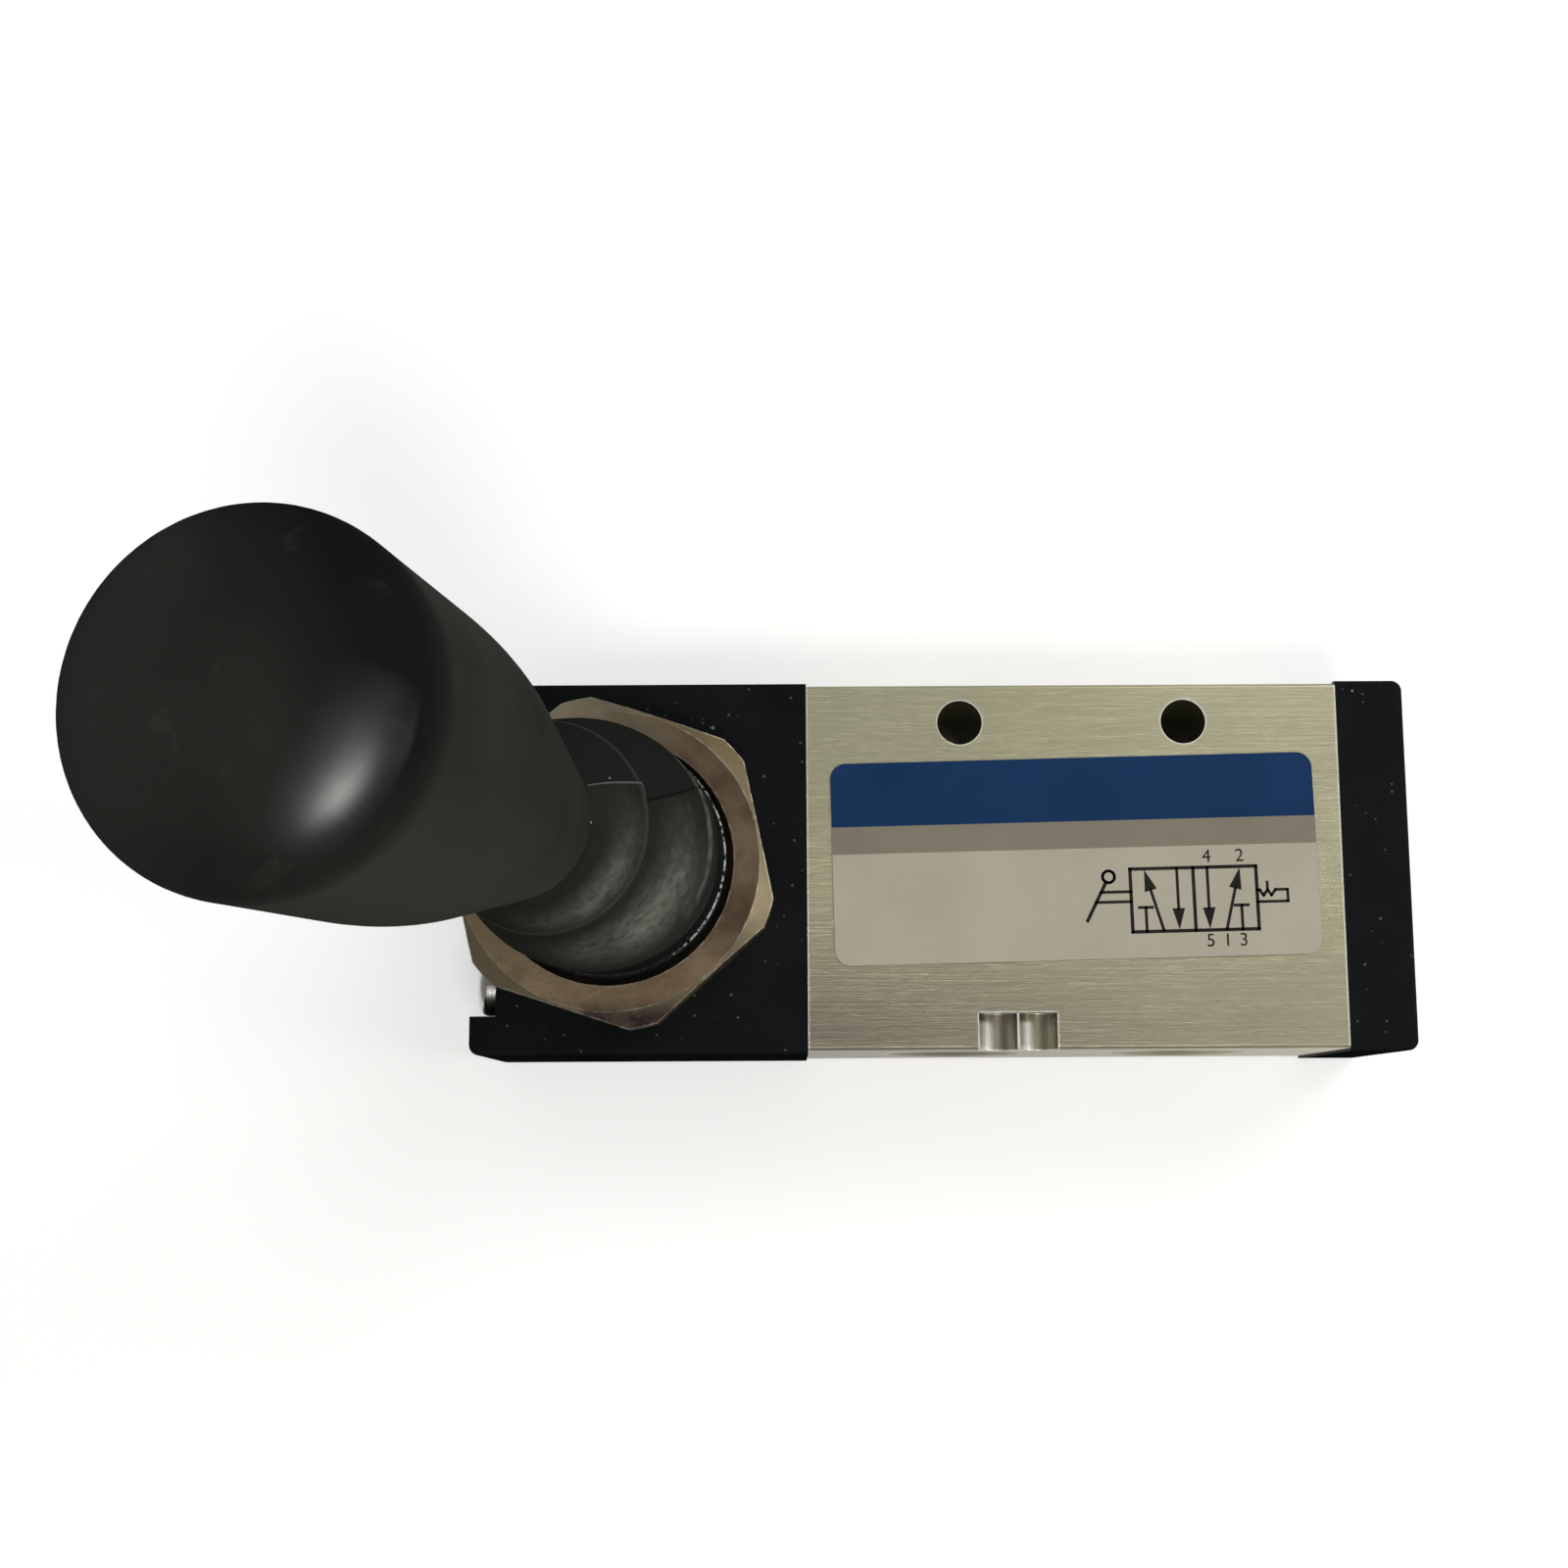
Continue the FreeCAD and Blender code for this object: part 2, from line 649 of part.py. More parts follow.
def make_knob_insert():
    """Brass bush moulded into the knob, knurled outside and threaded on the lever."""
    low = knob_base + insert_lip
    insert = Part.makeCylinder(insert_radius, insert_length, Vector(0, 0, low))
    hole_radius = lever_radius + thread_clearance
    insert = insert.cut(Part.makeCylinder(hole_radius, insert_length + cut_over, Vector(0, 0, knob_base)))
    cutters = []
    for k in range(knurl_count):
        flute = box(
            (insert_radius - knurl_depth, insert_radius + cut_over),
            (-knurl_width / 2, knurl_width / 2),
            (low + insert_plain, low + insert_length - insert_plain),
        )
        flute.rotate(Vector(0, 0, 0), z_axis, 360 * k / knurl_count)
        cutters.append(flute)
    return leaned(insert.cut(cutters))


def boot_ring(fraction, radius, extra=0.0):
    """One section of the boot: flat at the neck, square to the lever at the top."""
    tilt = math.radians(lever_tilt)
    low = Vector(pivot_x, 0, neck_top)
    high = Vector(pivot_x - boot_top * math.sin(tilt), 0, pivot_height + boot_top * math.cos(tilt))
    angle = tilt * min(1.0, boot_straighten * fraction)
    normal = Vector(-math.sin(angle), 0, math.cos(angle))
    middle = low + (high - low) * fraction + normal * extra
    return Part.Wire([Part.makeCircle(radius, middle, normal)])


def make_dust_boot():
    """Rubber boot: a foot plugged into the neck, two soft tiers, and a collar that grips the lever."""
    slim = boot_foot_radius - boot_collar_radius
    outline = [(fraction, boot_foot_radius - share * slim) for fraction, share in boot_outline]
    outer = Part.makeLoft([boot_ring(f, r) for f, r in outline], True, False)
    bore = lever_radius + boot_rod_gap
    hollow = [(f, max(r - boot_wall, bore)) for f, r in outline if f < boot_collar_share]
    rings = [boot_ring(0.0, hollow[0][1], -cut_over)]
    rings += [boot_ring(f, r) for f, r in hollow + [(boot_collar_share, bore), (1.0, bore)]]
    rings.append(boot_ring(1.0, bore, cut_over))
    boot = outer.cut(Part.makeLoft(rings, True, True))
    plug_radius = neck_bore_radius - boot_plug_gap
    seat = Vector(pivot_x, 0, neck_top)
    low = seat - z_axis * boot_plug_depth
    foot = Part.makeCylinder(plug_radius, boot_plug_depth, low)
    foot = foot.fuse(Part.makeCylinder(boot_foot_radius - boot_wall / 2, boot_floor, seat))
    hollow_height = boot_plug_depth + boot_floor + 2 * cut_over
    foot = foot.cut(Part.makeCylinder(plug_radius - boot_plug_wall, hollow_height, low - z_axis * cut_over))
    return boot.fuse(foot).removeSplitter()


def make_label_plate():
    x_span = (-label_length / 2, label_length / 2)
    y_span = (-label_width / 2, label_width / 2)
    plate = box(x_span, y_span, (0, label_thickness))
    plate = plate.makeFillet(label_corner, edges_along(plate, z_axis, lambda p: True))
    plate.rotate(Vector(0, 0, 0), z_axis, label_turn)
    plate.translate(Vector(0, label_offset, block_height))
    return plate


save(make_valve_body(), "valve_body")
save(make_spool(), "spool")
save(make_spool_seals(), "spool_seals")
save(make_spool_yoke(), "spool_yoke")
save(make_lever_housing(), "lever_housing")
save(make_guide_bush(), "guide_bush")
save(make_detent_spring(), "detent_spring")
save(make_ring_bumper(), "ring_bumper")
save(make_bumper(), "end_bumper")
save(make_face_seal(-1, housing_seal_inner), "housing_seal")
save(make_face_seal(1, cap_seal_inner), "cap_seal")
save(make_screws(recess_floor, -1), "housing_screws")
save(make_screws(cap_right - counterbore_depth, 1), "cap_screws")
save(make_end_cap(), "end_cap")
save(make_panel_nut(), "panel_nut")
save(make_pivot_pin(), "pivot_pin")
save(make_lever_rod(), "lever_rod")
save(make_knob(), "knob")
save(make_knob_insert(), "knob_insert")
save(make_dust_boot(), "dust_boot")
save(make_label_plate(), "label_plate")
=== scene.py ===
import math

import bmesh
import bpy
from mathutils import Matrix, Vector


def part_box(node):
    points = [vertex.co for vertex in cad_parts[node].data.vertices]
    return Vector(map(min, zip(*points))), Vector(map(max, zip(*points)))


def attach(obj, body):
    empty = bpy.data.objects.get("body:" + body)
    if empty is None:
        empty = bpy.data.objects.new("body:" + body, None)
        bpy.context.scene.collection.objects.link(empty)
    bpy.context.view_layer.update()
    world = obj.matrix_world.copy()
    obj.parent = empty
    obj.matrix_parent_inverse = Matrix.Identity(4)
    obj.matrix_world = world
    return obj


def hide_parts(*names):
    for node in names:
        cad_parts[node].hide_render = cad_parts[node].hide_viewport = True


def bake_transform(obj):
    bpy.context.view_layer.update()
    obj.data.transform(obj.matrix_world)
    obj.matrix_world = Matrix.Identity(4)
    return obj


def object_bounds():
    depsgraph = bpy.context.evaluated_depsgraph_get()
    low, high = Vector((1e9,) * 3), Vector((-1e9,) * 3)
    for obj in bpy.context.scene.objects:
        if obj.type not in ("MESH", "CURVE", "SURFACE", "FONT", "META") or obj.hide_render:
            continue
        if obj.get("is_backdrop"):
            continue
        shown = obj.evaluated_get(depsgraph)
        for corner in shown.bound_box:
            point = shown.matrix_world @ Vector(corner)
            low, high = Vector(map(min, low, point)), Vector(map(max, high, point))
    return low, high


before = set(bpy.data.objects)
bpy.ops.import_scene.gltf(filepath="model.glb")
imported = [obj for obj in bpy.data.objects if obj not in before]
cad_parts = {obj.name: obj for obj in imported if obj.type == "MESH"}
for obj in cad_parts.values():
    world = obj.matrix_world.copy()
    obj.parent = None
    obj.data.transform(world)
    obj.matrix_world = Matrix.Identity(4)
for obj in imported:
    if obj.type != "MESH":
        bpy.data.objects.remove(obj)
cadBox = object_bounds()
print("frame loaded with", len(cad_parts), "nodes")

mm = 0.001
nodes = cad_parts
leverPivot = (-44.0, 24.0)  # mm, X and Z
leverTilt = 10.4  # degrees
leverAxis = (-math.sin(math.radians(leverTilt)), math.cos(math.radians(leverTilt)))


def linked(name, data):
    # New object in the scene.
    item = bpy.data.objects.new(name, data)
    bpy.context.scene.collection.objects.link(item)
    return item


# Camera, floor and studio light

viewpoint = {
    "place": (-27.54, -24.93, 230.72),  # mm
    "turn": (8.944, 0.081, -0.304),  # degrees
    "lens": 50.63,
    "sensorWidth": 36.0,
    "nearest": 0.005,
}

studio = {
    "floorHalf": 3.0,
    "floorDrop": 0.3 * mm,
    "floorColour": (0.93, 0.93, 0.92),
    "floorShade": 0.985,  # darkest tone of the paper, as a share of its colour
    "floorGlow": 0.42,
    "underValve": ((-57.5 * mm, -17.75 * mm), (32.0 * mm, 17.75 * mm)),  # paper hidden by the valve
    "underFade": 2.5 * mm,
    "skyLow": (0.30, 0.30, 0.30),
    "skyHigh": (0.24, 0.24, 0.235),
    "skyRise": (0.05, 0.75),  # from the low colour to the high one
    "lamps": [
        # name, place, aim, length of its sides, watts, colour
        ("keyLamp", (0.03, -0.26, 0.64), (-0.05, 0.0, 0.06), 0.15, 1.15, (1.0, 0.985, 0.95)),
        ("fillLamp", (0.34, 0.42, 0.55), (-0.03, 0.0, 0.03), 0.50, 2.0, (0.97, 0.985, 1.0)),
        ("sideLamp", (0.52, -0.06, 0.33), (-0.03, 0.0, 0.02), 0.22, 0.7, (1.0, 0.985, 0.95)),
    ],
}


def aimed(place, target):
    # Rotation that turns an object's -Z from its place to the target.
    return (Vector(target) - Vector(place)).to_track_quat("-Z", "Y").to_euler()


def makeStudio():
    cameraData = bpy.data.cameras.new("camera")
    cameraData.sensor_width = viewpoint["sensorWidth"]
    cameraData.lens = viewpoint["lens"]
    cameraData.clip_start = viewpoint["nearest"]
    camera = linked("camera", cameraData)
    camera.location = Vector(viewpoint["place"]) * mm
    camera.rotation_euler = [math.radians(a) for a in viewpoint["turn"]]
    bpy.context.scene.camera = camera
    for name, place, target, side, watts, colour in studio["lamps"]:
        lampData = bpy.data.lights.new(name, "AREA")
        lampData.shape = "RECTANGLE"
        lampData.size = side
        lampData.size_y = side
        lampData.energy = watts
        lampData.color = colour
        lamp = linked(name, lampData)
        lamp.location = place
        lamp.rotation_euler = aimed(place, target)


makeStudio()
print("camera and lamps placed")

# Shader building

textures = {
    "spread": (0.3, 0.7),  # where most of a noise's values lie
    "streakWeights": (0.55, 0.45),  # fine and wide streaks
    "streakSpread": (0.36, 0.64),
    "smallestSpeck": 0.35,
    "dustFacing": (0.1, 0.6),  # Z of the surface's direction, from no dust to all of it
    "bevelSamples": 8,
    "cloudScale": 55.0,
    "edgeFrom": (0.05, 1.0),
}


def feed(value, socket):
    # Link another node's value to a socket, or set a plain number or colour on it.
    if isinstance(value, (int, float)):
        socket.default_value = value
    elif isinstance(value, tuple):
        socket.default_value = value if len(socket.default_value) == len(value) else (*value, 1.0)
    else:
        socket.id_data.links.new(value, socket)


def fill(sockets, values):
    # Feed every socket whose name, with its spaces left out, is among the values.
    for socket in sockets:
        key = socket.name.replace(" ", "")
        if socket.enabled and key in values:
            feed(values[key], socket)


def addNode(tree, kind, *values, **settings):
    # New node. Values go to its inputs in order; settings name a property or an input.
    node = tree.nodes.new(kind)
    for key, value in settings.items():
        if key.islower():
            setattr(node, key, value)
    for value, socket in zip(values, [s for s in node.inputs if s.enabled]):
        feed(value, socket)
    fill(node.inputs, settings)
    return node


def derived(kind, *values, **settings):
    # New node in the tree of the sockets that it is given.
    trees = [v.id_data for v in (*values, *settings.values()) if hasattr(v, "id_data")]
    return addNode(trees[0], kind, *values, **settings)


def maths(operation, *values):
    return derived("ShaderNodeMath", *values, operation=operation).outputs[0]


def product(first, *others):
    for other in others:
        first = maths("MULTIPLY", first, other)
    return first


def weighed(first, second, weights):
    # Sum of two values, each times its weight.
    return maths("ADD", product(first, weights[0]), product(second, weights[1]))


def rangeOf(value, low, high, outLow=0.0, outHigh=1.0):
    return derived("ShaderNodeMapRange", value, low, high, outLow, outHigh).outputs[0]


def mixedColour(mask, first, second):
    node = derived("ShaderNodeMix", mask, first, second, data_type="RGBA")
    return [s for s in node.outputs if s.enabled][0]


def layered(base, *layers):
    # Colour with further (mask, colour) layers laid over it in turn.
    for mask, colour in layers:
        base = mixedColour(mask, base, colour)
    return base


def stepped(value, stops):
    # Value that follows (place, amount) stops in straight steps.
    ramp = derived("ShaderNodeValToRGB", value)
    points = ramp.color_ramp.elements
    while len(points) < len(stops):
        points.new(1.0)
    for point, (place, amount) in zip(points, stops):
        point.position = place
        point.color = (amount, amount, amount, 1.0)
    return ramp.outputs[0]


def split(vector):
    # X, Y and Z of a vector.
    return derived("ShaderNodeSeparateXYZ", vector).outputs


def towards(vector, way):
    # How far a vector reaches in one direction.
    return derived("ShaderNodeVectorMath", vector, way, operation="DOT_PRODUCT").outputs["Value"]


def noise(place, scale, detail=3.0, roughness=0.5, **settings):
    return derived("ShaderNodeTexNoise", place, scale, detail, roughness, **settings).outputs[0]


def objectPlace(tree):
    return addNode(tree, "ShaderNodeTexCoord").outputs["Object"]


def surfaceNormal(tree):
    return addNode(tree, "ShaderNodeNewGeometry").outputs["Normal"]


def vertexValue(tree, name):
    return addNode(tree, "ShaderNodeAttribute", attribute_name=name).outputs["Fac"]


def newGroup(name, inputs, outputs):
    # Empty shader group with float inputs (name, start value) and float outputs.
    group = bpy.data.node_groups.new(name, "ShaderNodeTree")
    for label, value in inputs:
        socket = group.interface.new_socket(name=label, in_out="INPUT", socket_type="NodeSocketFloat")
        socket.default_value = value
    for label in outputs:
        group.interface.new_socket(name=label, in_out="OUTPUT", socket_type="NodeSocketFloat")
    entry = group.nodes.new("NodeGroupInput")
    result = group.nodes.new("NodeGroupOutput")
    return group, entry.outputs, result.inputs


def brushedGroup():
    # Long fine streaks along X, as on drawn and brushed aluminium.
    inputs = [("Across", 9000.0), ("Along", 60.0)]
    tree, given, result = newGroup("brushedStreaks", inputs, ["Streaks", "Broad"])
    along, across = given["Along"], given["Across"]
    stretch = derived("ShaderNodeCombineXYZ", along, across, across).outputs[0]
    place = derived("ShaderNodeVectorMath", objectPlace(tree), stretch, operation="MULTIPLY").outputs[0]
    fine = noise(place, 1.0, roughness=0.7)
    wide = noise(place, 0.35, detail=4.0, roughness=0.6)
    clouds = noise(objectPlace(tree), textures["cloudScale"])
    streaks = weighed(fine, wide, textures["streakWeights"])
    feed(rangeOf(streaks, *textures["streakSpread"]), result["Streaks"])
    feed(rangeOf(clouds, *textures["spread"]), result["Broad"])
    return tree


def grainGroup():
    # Fine moulded or cast surface grain, with a slow change of tone over it.
    inputs = [("Grain", 7000.0), ("Blotch", 120.0)]
    tree, given, result = newGroup("mouldedGrain", inputs, ["Height", "Tone"])
    fine = noise(objectPlace(tree), given["Grain"], roughness=0.6)
    slow = noise(objectPlace(tree), given["Blotch"], detail=4.0, roughness=0.55)
    feed(rangeOf(fine, *textures["spread"]), result["Height"])
    feed(rangeOf(slow, *textures["spread"]), result["Tone"])
    return tree


def dustGroup():
    # Scattered pale specks of several sizes that have settled on what faces up.
    inputs = [("Cells", 420.0), ("Speck", 0.07), ("Amount", 0.3)]
    tree, given, result = newGroup("dustSpecks", inputs, ["Mask"])
    cells = derived("ShaderNodeTexVoronoi", objectPlace(tree), given["Cells"]).outputs
    chance = derived("ShaderNodeSeparateColor", cells["Color"]).outputs  # one for each cell
    size = product(given["Speck"], maths("ADD", chance[1], textures["smallestSpeck"]))
    near = maths("LESS_THAN", cells["Distance"], size)
    chosen = maths("LESS_THAN", chance[0], given["Amount"])
    upward = rangeOf(split(surfaceNormal(tree))["Z"], *textures["dustFacing"])
    feed(product(near, chosen, upward), result["Mask"])
    return tree


def edgeGroup():
    # Mask along sharp edges, where handling and machining leave them bright.
    tree, given, result = newGroup("edgeWear", [("Radius", 0.0004), ("Gain", 3.0)], ["Mask"])
    rounded = derived("ShaderNodeBevel", given["Radius"], samples=textures["bevelSamples"]).outputs[0]
    likeness = towards(rounded, surfaceNormal(tree))
    turned = product(maths("SUBTRACT", 1.0, likeness), given["Gain"])
    feed(rangeOf(turned, *textures["edgeFrom"]), result["Mask"])
    return tree


def ringsGroup():
    # Turning marks: rings that change only along one axis of the piece.
    inputs = [("Axis X", 1.0), ("Axis Z", 0.0), ("Rings", 5000.0)]
    tree, given, result = newGroup("turnedRings", inputs, ["Rings"])
    axis = derived("ShaderNodeCombineXYZ", given["Axis X"], 0.0, given["Axis Z"]).outputs[0]
    place = towards(objectPlace(tree), axis)
    marks = noise(place, given["Rings"], roughness=0.7, noise_dimensions="1D")
    feed(rangeOf(marks, *textures["spread"]), result["Rings"])
    return tree


brushed = brushedGroup()
grain = grainGroup()
dust = dustGroup()
edges = edgeGroup()
rings = ringsGroup()


def placed(tree, group, **values):
    # One group placed in a material with its own values; input names with spaces left out.
    node = tree.nodes.new("ShaderNodeGroup")
    node.node_tree = group
    fill(node.inputs, values)
    return node.outputs


def newMaterial(name, **values):
    # Material with a Principled surface that has some plain socket values.
    material = bpy.data.materials.new(name)
    material.use_nodes = True
    tree = material.node_tree
    surface = tree.nodes["Principled BSDF"].inputs
    fill(surface, values)
    return material, tree, surface


def finish(surface, colour, tone, height, roughness, depth):
    # Base colour, roughness between two values by tone, and bump.
    feed(colour, surface["Base Color"])
    feed(rangeOf(tone, 0.0, 1.0, *roughness), surface["Roughness"])
    bump = derived("ShaderNodeBump", Strength=1.0, Distance=depth, Height=height)
    feed(bump.outputs[0], surface["Normal"])


# Materials. Where a layer has a pair of places or tones, it is clear at the first and full at the second.

aluminium = {
    "dark": (0.37, 0.350, 0.230),
    "light": (0.54, 0.520, 0.362),
    # painted shade, laid darker over the near side and the left end
    "dull": (0.215, 0.188, 0.148),
    "bright": (0.97, 0.96, 0.90),
    # painted highlight on the groove walls in the near edge
    "fresh": (0.99, 0.99, 0.93),
    "toneWeights": (0.7, 0.3),  # streaks and broad clouds
    "edge": 0.8,
    "dullSide": (-2.0 * mm, -15.5 * mm),  # Y, from no painted shade to the most of it
    "dullMost": 0.95,
    "dullEnd": (-25.0 * mm, 25.0 * mm),  # X, from the most painted shade to the least
    "dullLeast": 0.4,
    "freshSide": (-14.6 * mm, -15.0 * mm),  # Y, painted highlight on the walls of the grooves in the near edge
    "freshAbove": (14.0 * mm, 14.5 * mm),  # Z
    "freshFacing": (0.1, 0.6),  # X of the surface's direction
    "roughness": (0.46, 0.34),
    "depth": 0.012 * mm,
}


def aluminiumMaterial():
    material, tree, surface = newMaterial("brushedAluminium", Metallic=1.0)
    streaks = placed(tree, brushed, Across=9000.0, Along=160.0)
    marks = streaks["Streaks"]
    worn = product(placed(tree, edges, Radius=0.00035, Gain=6.0)["Mask"], aluminium["edge"])
    tone = weighed(marks, streaks["Broad"], aluminium["toneWeights"])
    place = split(objectPlace(tree))
    facing = split(surfaceNormal(tree))
    # painted shade: darker towards the near side and towards the left end
    shadeMask = product(
        rangeOf(place["Y"], *aluminium["dullSide"], 0.0, aluminium["dullMost"]),
        rangeOf(place["X"], *aluminium["dullEnd"], 1.0, aluminium["dullLeast"]),
    )
    # painted highlight on the groove walls that face +X
    fresh = product(
        rangeOf(place["Y"], *aluminium["freshSide"]),
        rangeOf(place["Z"], *aluminium["freshAbove"]),
        rangeOf(facing["X"], *aluminium["freshFacing"]),
    )
    colour = layered(
        mixedColour(tone, aluminium["dark"], aluminium["light"]),
        (shadeMask, aluminium["dull"]),
        (fresh, aluminium["fresh"]),
        (worn, aluminium["bright"]),
    )
    finish(surface, colour, marks, marks, aluminium["roughness"], aluminium["depth"])
    return material


moulding = {
    "dark": (0.0042, 0.0050, 0.0056),
    "light": (0.0078, 0.0086, 0.0092),
    "edge": (0.022, 0.023, 0.024),
    "dust": (0.20, 0.21, 0.20),
    "fineDust": (0.075, 0.078, 0.075),
    "sheen": 0.12,  # coat on what faces up
    "sheenFacing": (0.2, 0.8),
    "sideSheen": 0.45,  # coat on upright faces, but not on the near ones
    "sideFacing": (-0.7, -0.3),
    "sideUpright": (0.6, 0.2),
    "crest": (0.46, 0.46, 0.44),  # painted glint on the topmost thread of the neck
    "neckCentre": -44.0 * mm,  # X
    "crestInner": 10.84 * mm,
    "crestLow": 30.0 * mm,
    "crestWay": (0.99, -0.10),  # the side of the neck where the painted glint is strongest
    "crestAround": (0.55, 0.85),
    "crestLeast": 0.04,
    "crestChips": (0.42, 0.54),
    "chipScale": 2100.0,
    "roughness": (0.50, 0.66),
    "depth": 0.012 * mm,
}


def mouldingMaterial():
    # Glass-filled black plastic, with a painted glint on the neck's topmost thread in places.
    material, tree, surface = newMaterial("blackMoulding", SpecularIORLevel=0.0, CoatRoughness=0.5)
    texture = placed(tree, grain, Grain=9000.0, Blotch=150.0)
    worn = placed(tree, edges, Radius=0.00035, Gain=2.2)["Mask"]
    specks = placed(tree, dust, Cells=520.0, Speck=0.065, Amount=0.30)["Mask"]
    fineSpecks = placed(tree, dust, Cells=1150.0, Speck=0.13, Amount=0.42)["Mask"]
    place = split(objectPlace(tree))
    facing = split(surfaceNormal(tree))
    sideways = maths("SUBTRACT", place["X"], moulding["neckCentre"])
    squares = maths("ADD", maths("POWER", sideways, 2.0), maths("POWER", place["Y"], 2.0))
    away = maths("SQRT", squares)
    around = maths("DIVIDE", weighed(sideways, place["Y"], moulding["crestWay"]), away)
    # painted glint: broken pale dashes on the neck's topmost thread, strongest on one side
    crest = product(
        maths("GREATER_THAN", away, moulding["crestInner"]),
        maths("GREATER_THAN", place["Z"], moulding["crestLow"]),
        rangeOf(noise(objectPlace(tree), moulding["chipScale"]), *moulding["crestChips"]),
        rangeOf(around, *moulding["crestAround"], moulding["crestLeast"], 1.0),
    )
    colour = layered(
        mixedColour(texture["Tone"], moulding["dark"], moulding["light"]),
        (worn, moulding["edge"]),
        (fineSpecks, moulding["fineDust"]),
        (specks, moulding["dust"]),
        (crest, moulding["crest"]),
    )
    upSheen = rangeOf(facing["Z"], *moulding["sheenFacing"], 0.0, moulding["sheen"])
    sideSheen = rangeOf(facing["Y"], *moulding["sideFacing"], 0.0, moulding["sideSheen"])
    sideSheen = product(sideSheen, rangeOf(facing["Z"], *moulding["sideUpright"]))
    feed(maths("ADD", upSheen, sideSheen), surface["Coat Weight"])
    finish(surface, colour, texture["Tone"], texture["Height"], moulding["roughness"], moulding["depth"])
    return material


nickel = {
    "dark": (0.130, 0.086, 0.056),
    "light": (0.290, 0.222, 0.140),
    "toneShare": 0.65,
    "toneAlong": (-0.08, 0.70),  # painted light added to the tone, from the right side to the left one
    "brown": (0.115, 0.066, 0.036),
    "brownFrom": (0.55, 0.9),
    "brownMost": 0.40,
    # painted light: a pale colour over the left, far part of the nut
    "pale": (0.50, 0.435, 0.31),
    "paleSide": (-37.0 * mm, -51.0 * mm),  # X
    "paleBack": (-3.0 * mm, 7.0 * mm),  # Y
    "paleMost": 0.8,
    # painted light, coppery, on the near side
    "copper": (0.52, 0.37, 0.23),
    "copperSide": (-7.0 * mm, -11.5 * mm),  # Y
    "copperMost": 0.20,
    "olive": (0.126, 0.099, 0.049),  # painted shade on the chamfers, far side
    "straw": (0.218, 0.187, 0.118),  # painted light on the chamfers, near side
    "chamferSide": (12.0 * mm, -2.0 * mm),  # Y, from the far chamfers' painted shade to the near ones' painted light
    "chamferFacing": (0.995, 0.95),
    "chamferMost": 0.8,
    # darker in patches along the near edge
    "stain": (0.050, 0.034, 0.034),
    "stainSide": (-12.6 * mm, -14.6 * mm),  # Y
    "stainTone": (0.0, 0.6),
    "stainLeast": 0.35,
    "bright": (0.80, 0.75, 0.63),
    "brightFrom": (0.3, 0.9),  # edges are bright in places
    "brightRange": (0.08, 0.85),
    "roughness": (0.36, 0.48),
    "depth": 0.006 * mm,
}


def nickelMaterial():
    # Plating that has gone brown, with edges rubbed clearer, painted light on its left, far and near parts,
    # painted light and shade on its chamfers, and its near edge darker in patches.
    material, tree, surface = newMaterial("nickelPlate", Metallic=1.0)
    texture = placed(tree, grain, Grain=2600.0, Blotch=230.0)
    patches = placed(tree, grain, Grain=1100.0, Blotch=420.0)
    worn = placed(tree, edges, Radius=0.0003, Gain=16.0)["Mask"]
    worn = product(worn, rangeOf(patches["Height"], *nickel["brightFrom"], *nickel["brightRange"]))
    place = split(objectPlace(tree))
    facing = split(surfaceNormal(tree))
    # painted light: the tone and a pale colour rise towards the left, far part
    toneAlong = rangeOf(place["X"], *nickel["paleSide"], *nickel["toneAlong"])
    tone = maths("ADD", product(texture["Tone"], nickel["toneShare"]), toneAlong)
    browned = product(rangeOf(patches["Tone"], *nickel["brownFrom"]), nickel["brownMost"])
    paleLightMask = product(
        rangeOf(place["X"], *nickel["paleSide"]),
        rangeOf(place["Y"], *nickel["paleBack"], 0.0, nickel["paleMost"]),
    )
    # painted light: paler and more coppery towards the near side
    copperLightMask = rangeOf(place["Y"], *nickel["copperSide"], 0.0, nickel["copperMost"])
    # chamfers, picked out by their slope, take painted light and painted shade
    chamferLightingMask = rangeOf(facing["Z"], *nickel["chamferFacing"], 0.0, nickel["chamferMost"])
    # darker, in patches, along the near edge
    nearEdgeMask = product(
        rangeOf(place["Y"], *nickel["stainSide"]),
        rangeOf(patches["Tone"], *nickel["stainTone"], nickel["stainLeast"], 1.0),
    )
    chamferLighting = mixedColour(rangeOf(place["Y"], *nickel["chamferSide"]), nickel["olive"], nickel["straw"])
    chamferLighting = mixedColour(paleLightMask, chamferLighting, nickel["pale"])
    colour = layered(
        mixedColour(rangeOf(tone, 0.0, 1.0), nickel["dark"], nickel["light"]),
        (browned, nickel["brown"]),
        (paleLightMask, nickel["pale"]),
        (copperLightMask, nickel["copper"]),
        (chamferLightingMask, chamferLighting),
        (nearEdgeMask, nickel["stain"]),
        (worn, nickel["bright"]),
    )
    finish(surface, colour, texture["Tone"], texture["Height"], nickel["roughness"], nickel["depth"])
    return material


steel = {
    "edge": (0.80, 0.80, 0.78),
    "depth": 0.003 * mm,
    # dark, light, roughness, axis of the rings in X and Z, rings in a metre
    "spoolAluminium": ((0.50, 0.50, 0.49), (0.66, 0.66, 0.65), (0.20, 0.32), (1.0, 0.0), 6000.0),
    "platedScrew": ((0.48, 0.47, 0.44), (0.64, 0.63, 0.59), (0.22, 0.34), (1.0, 0.0), 3000.0),
    "leverSteel": ((0.42, 0.42, 0.41), (0.58, 0.58, 0.57), (0.24, 0.36), leverAxis, 4000.0),
}


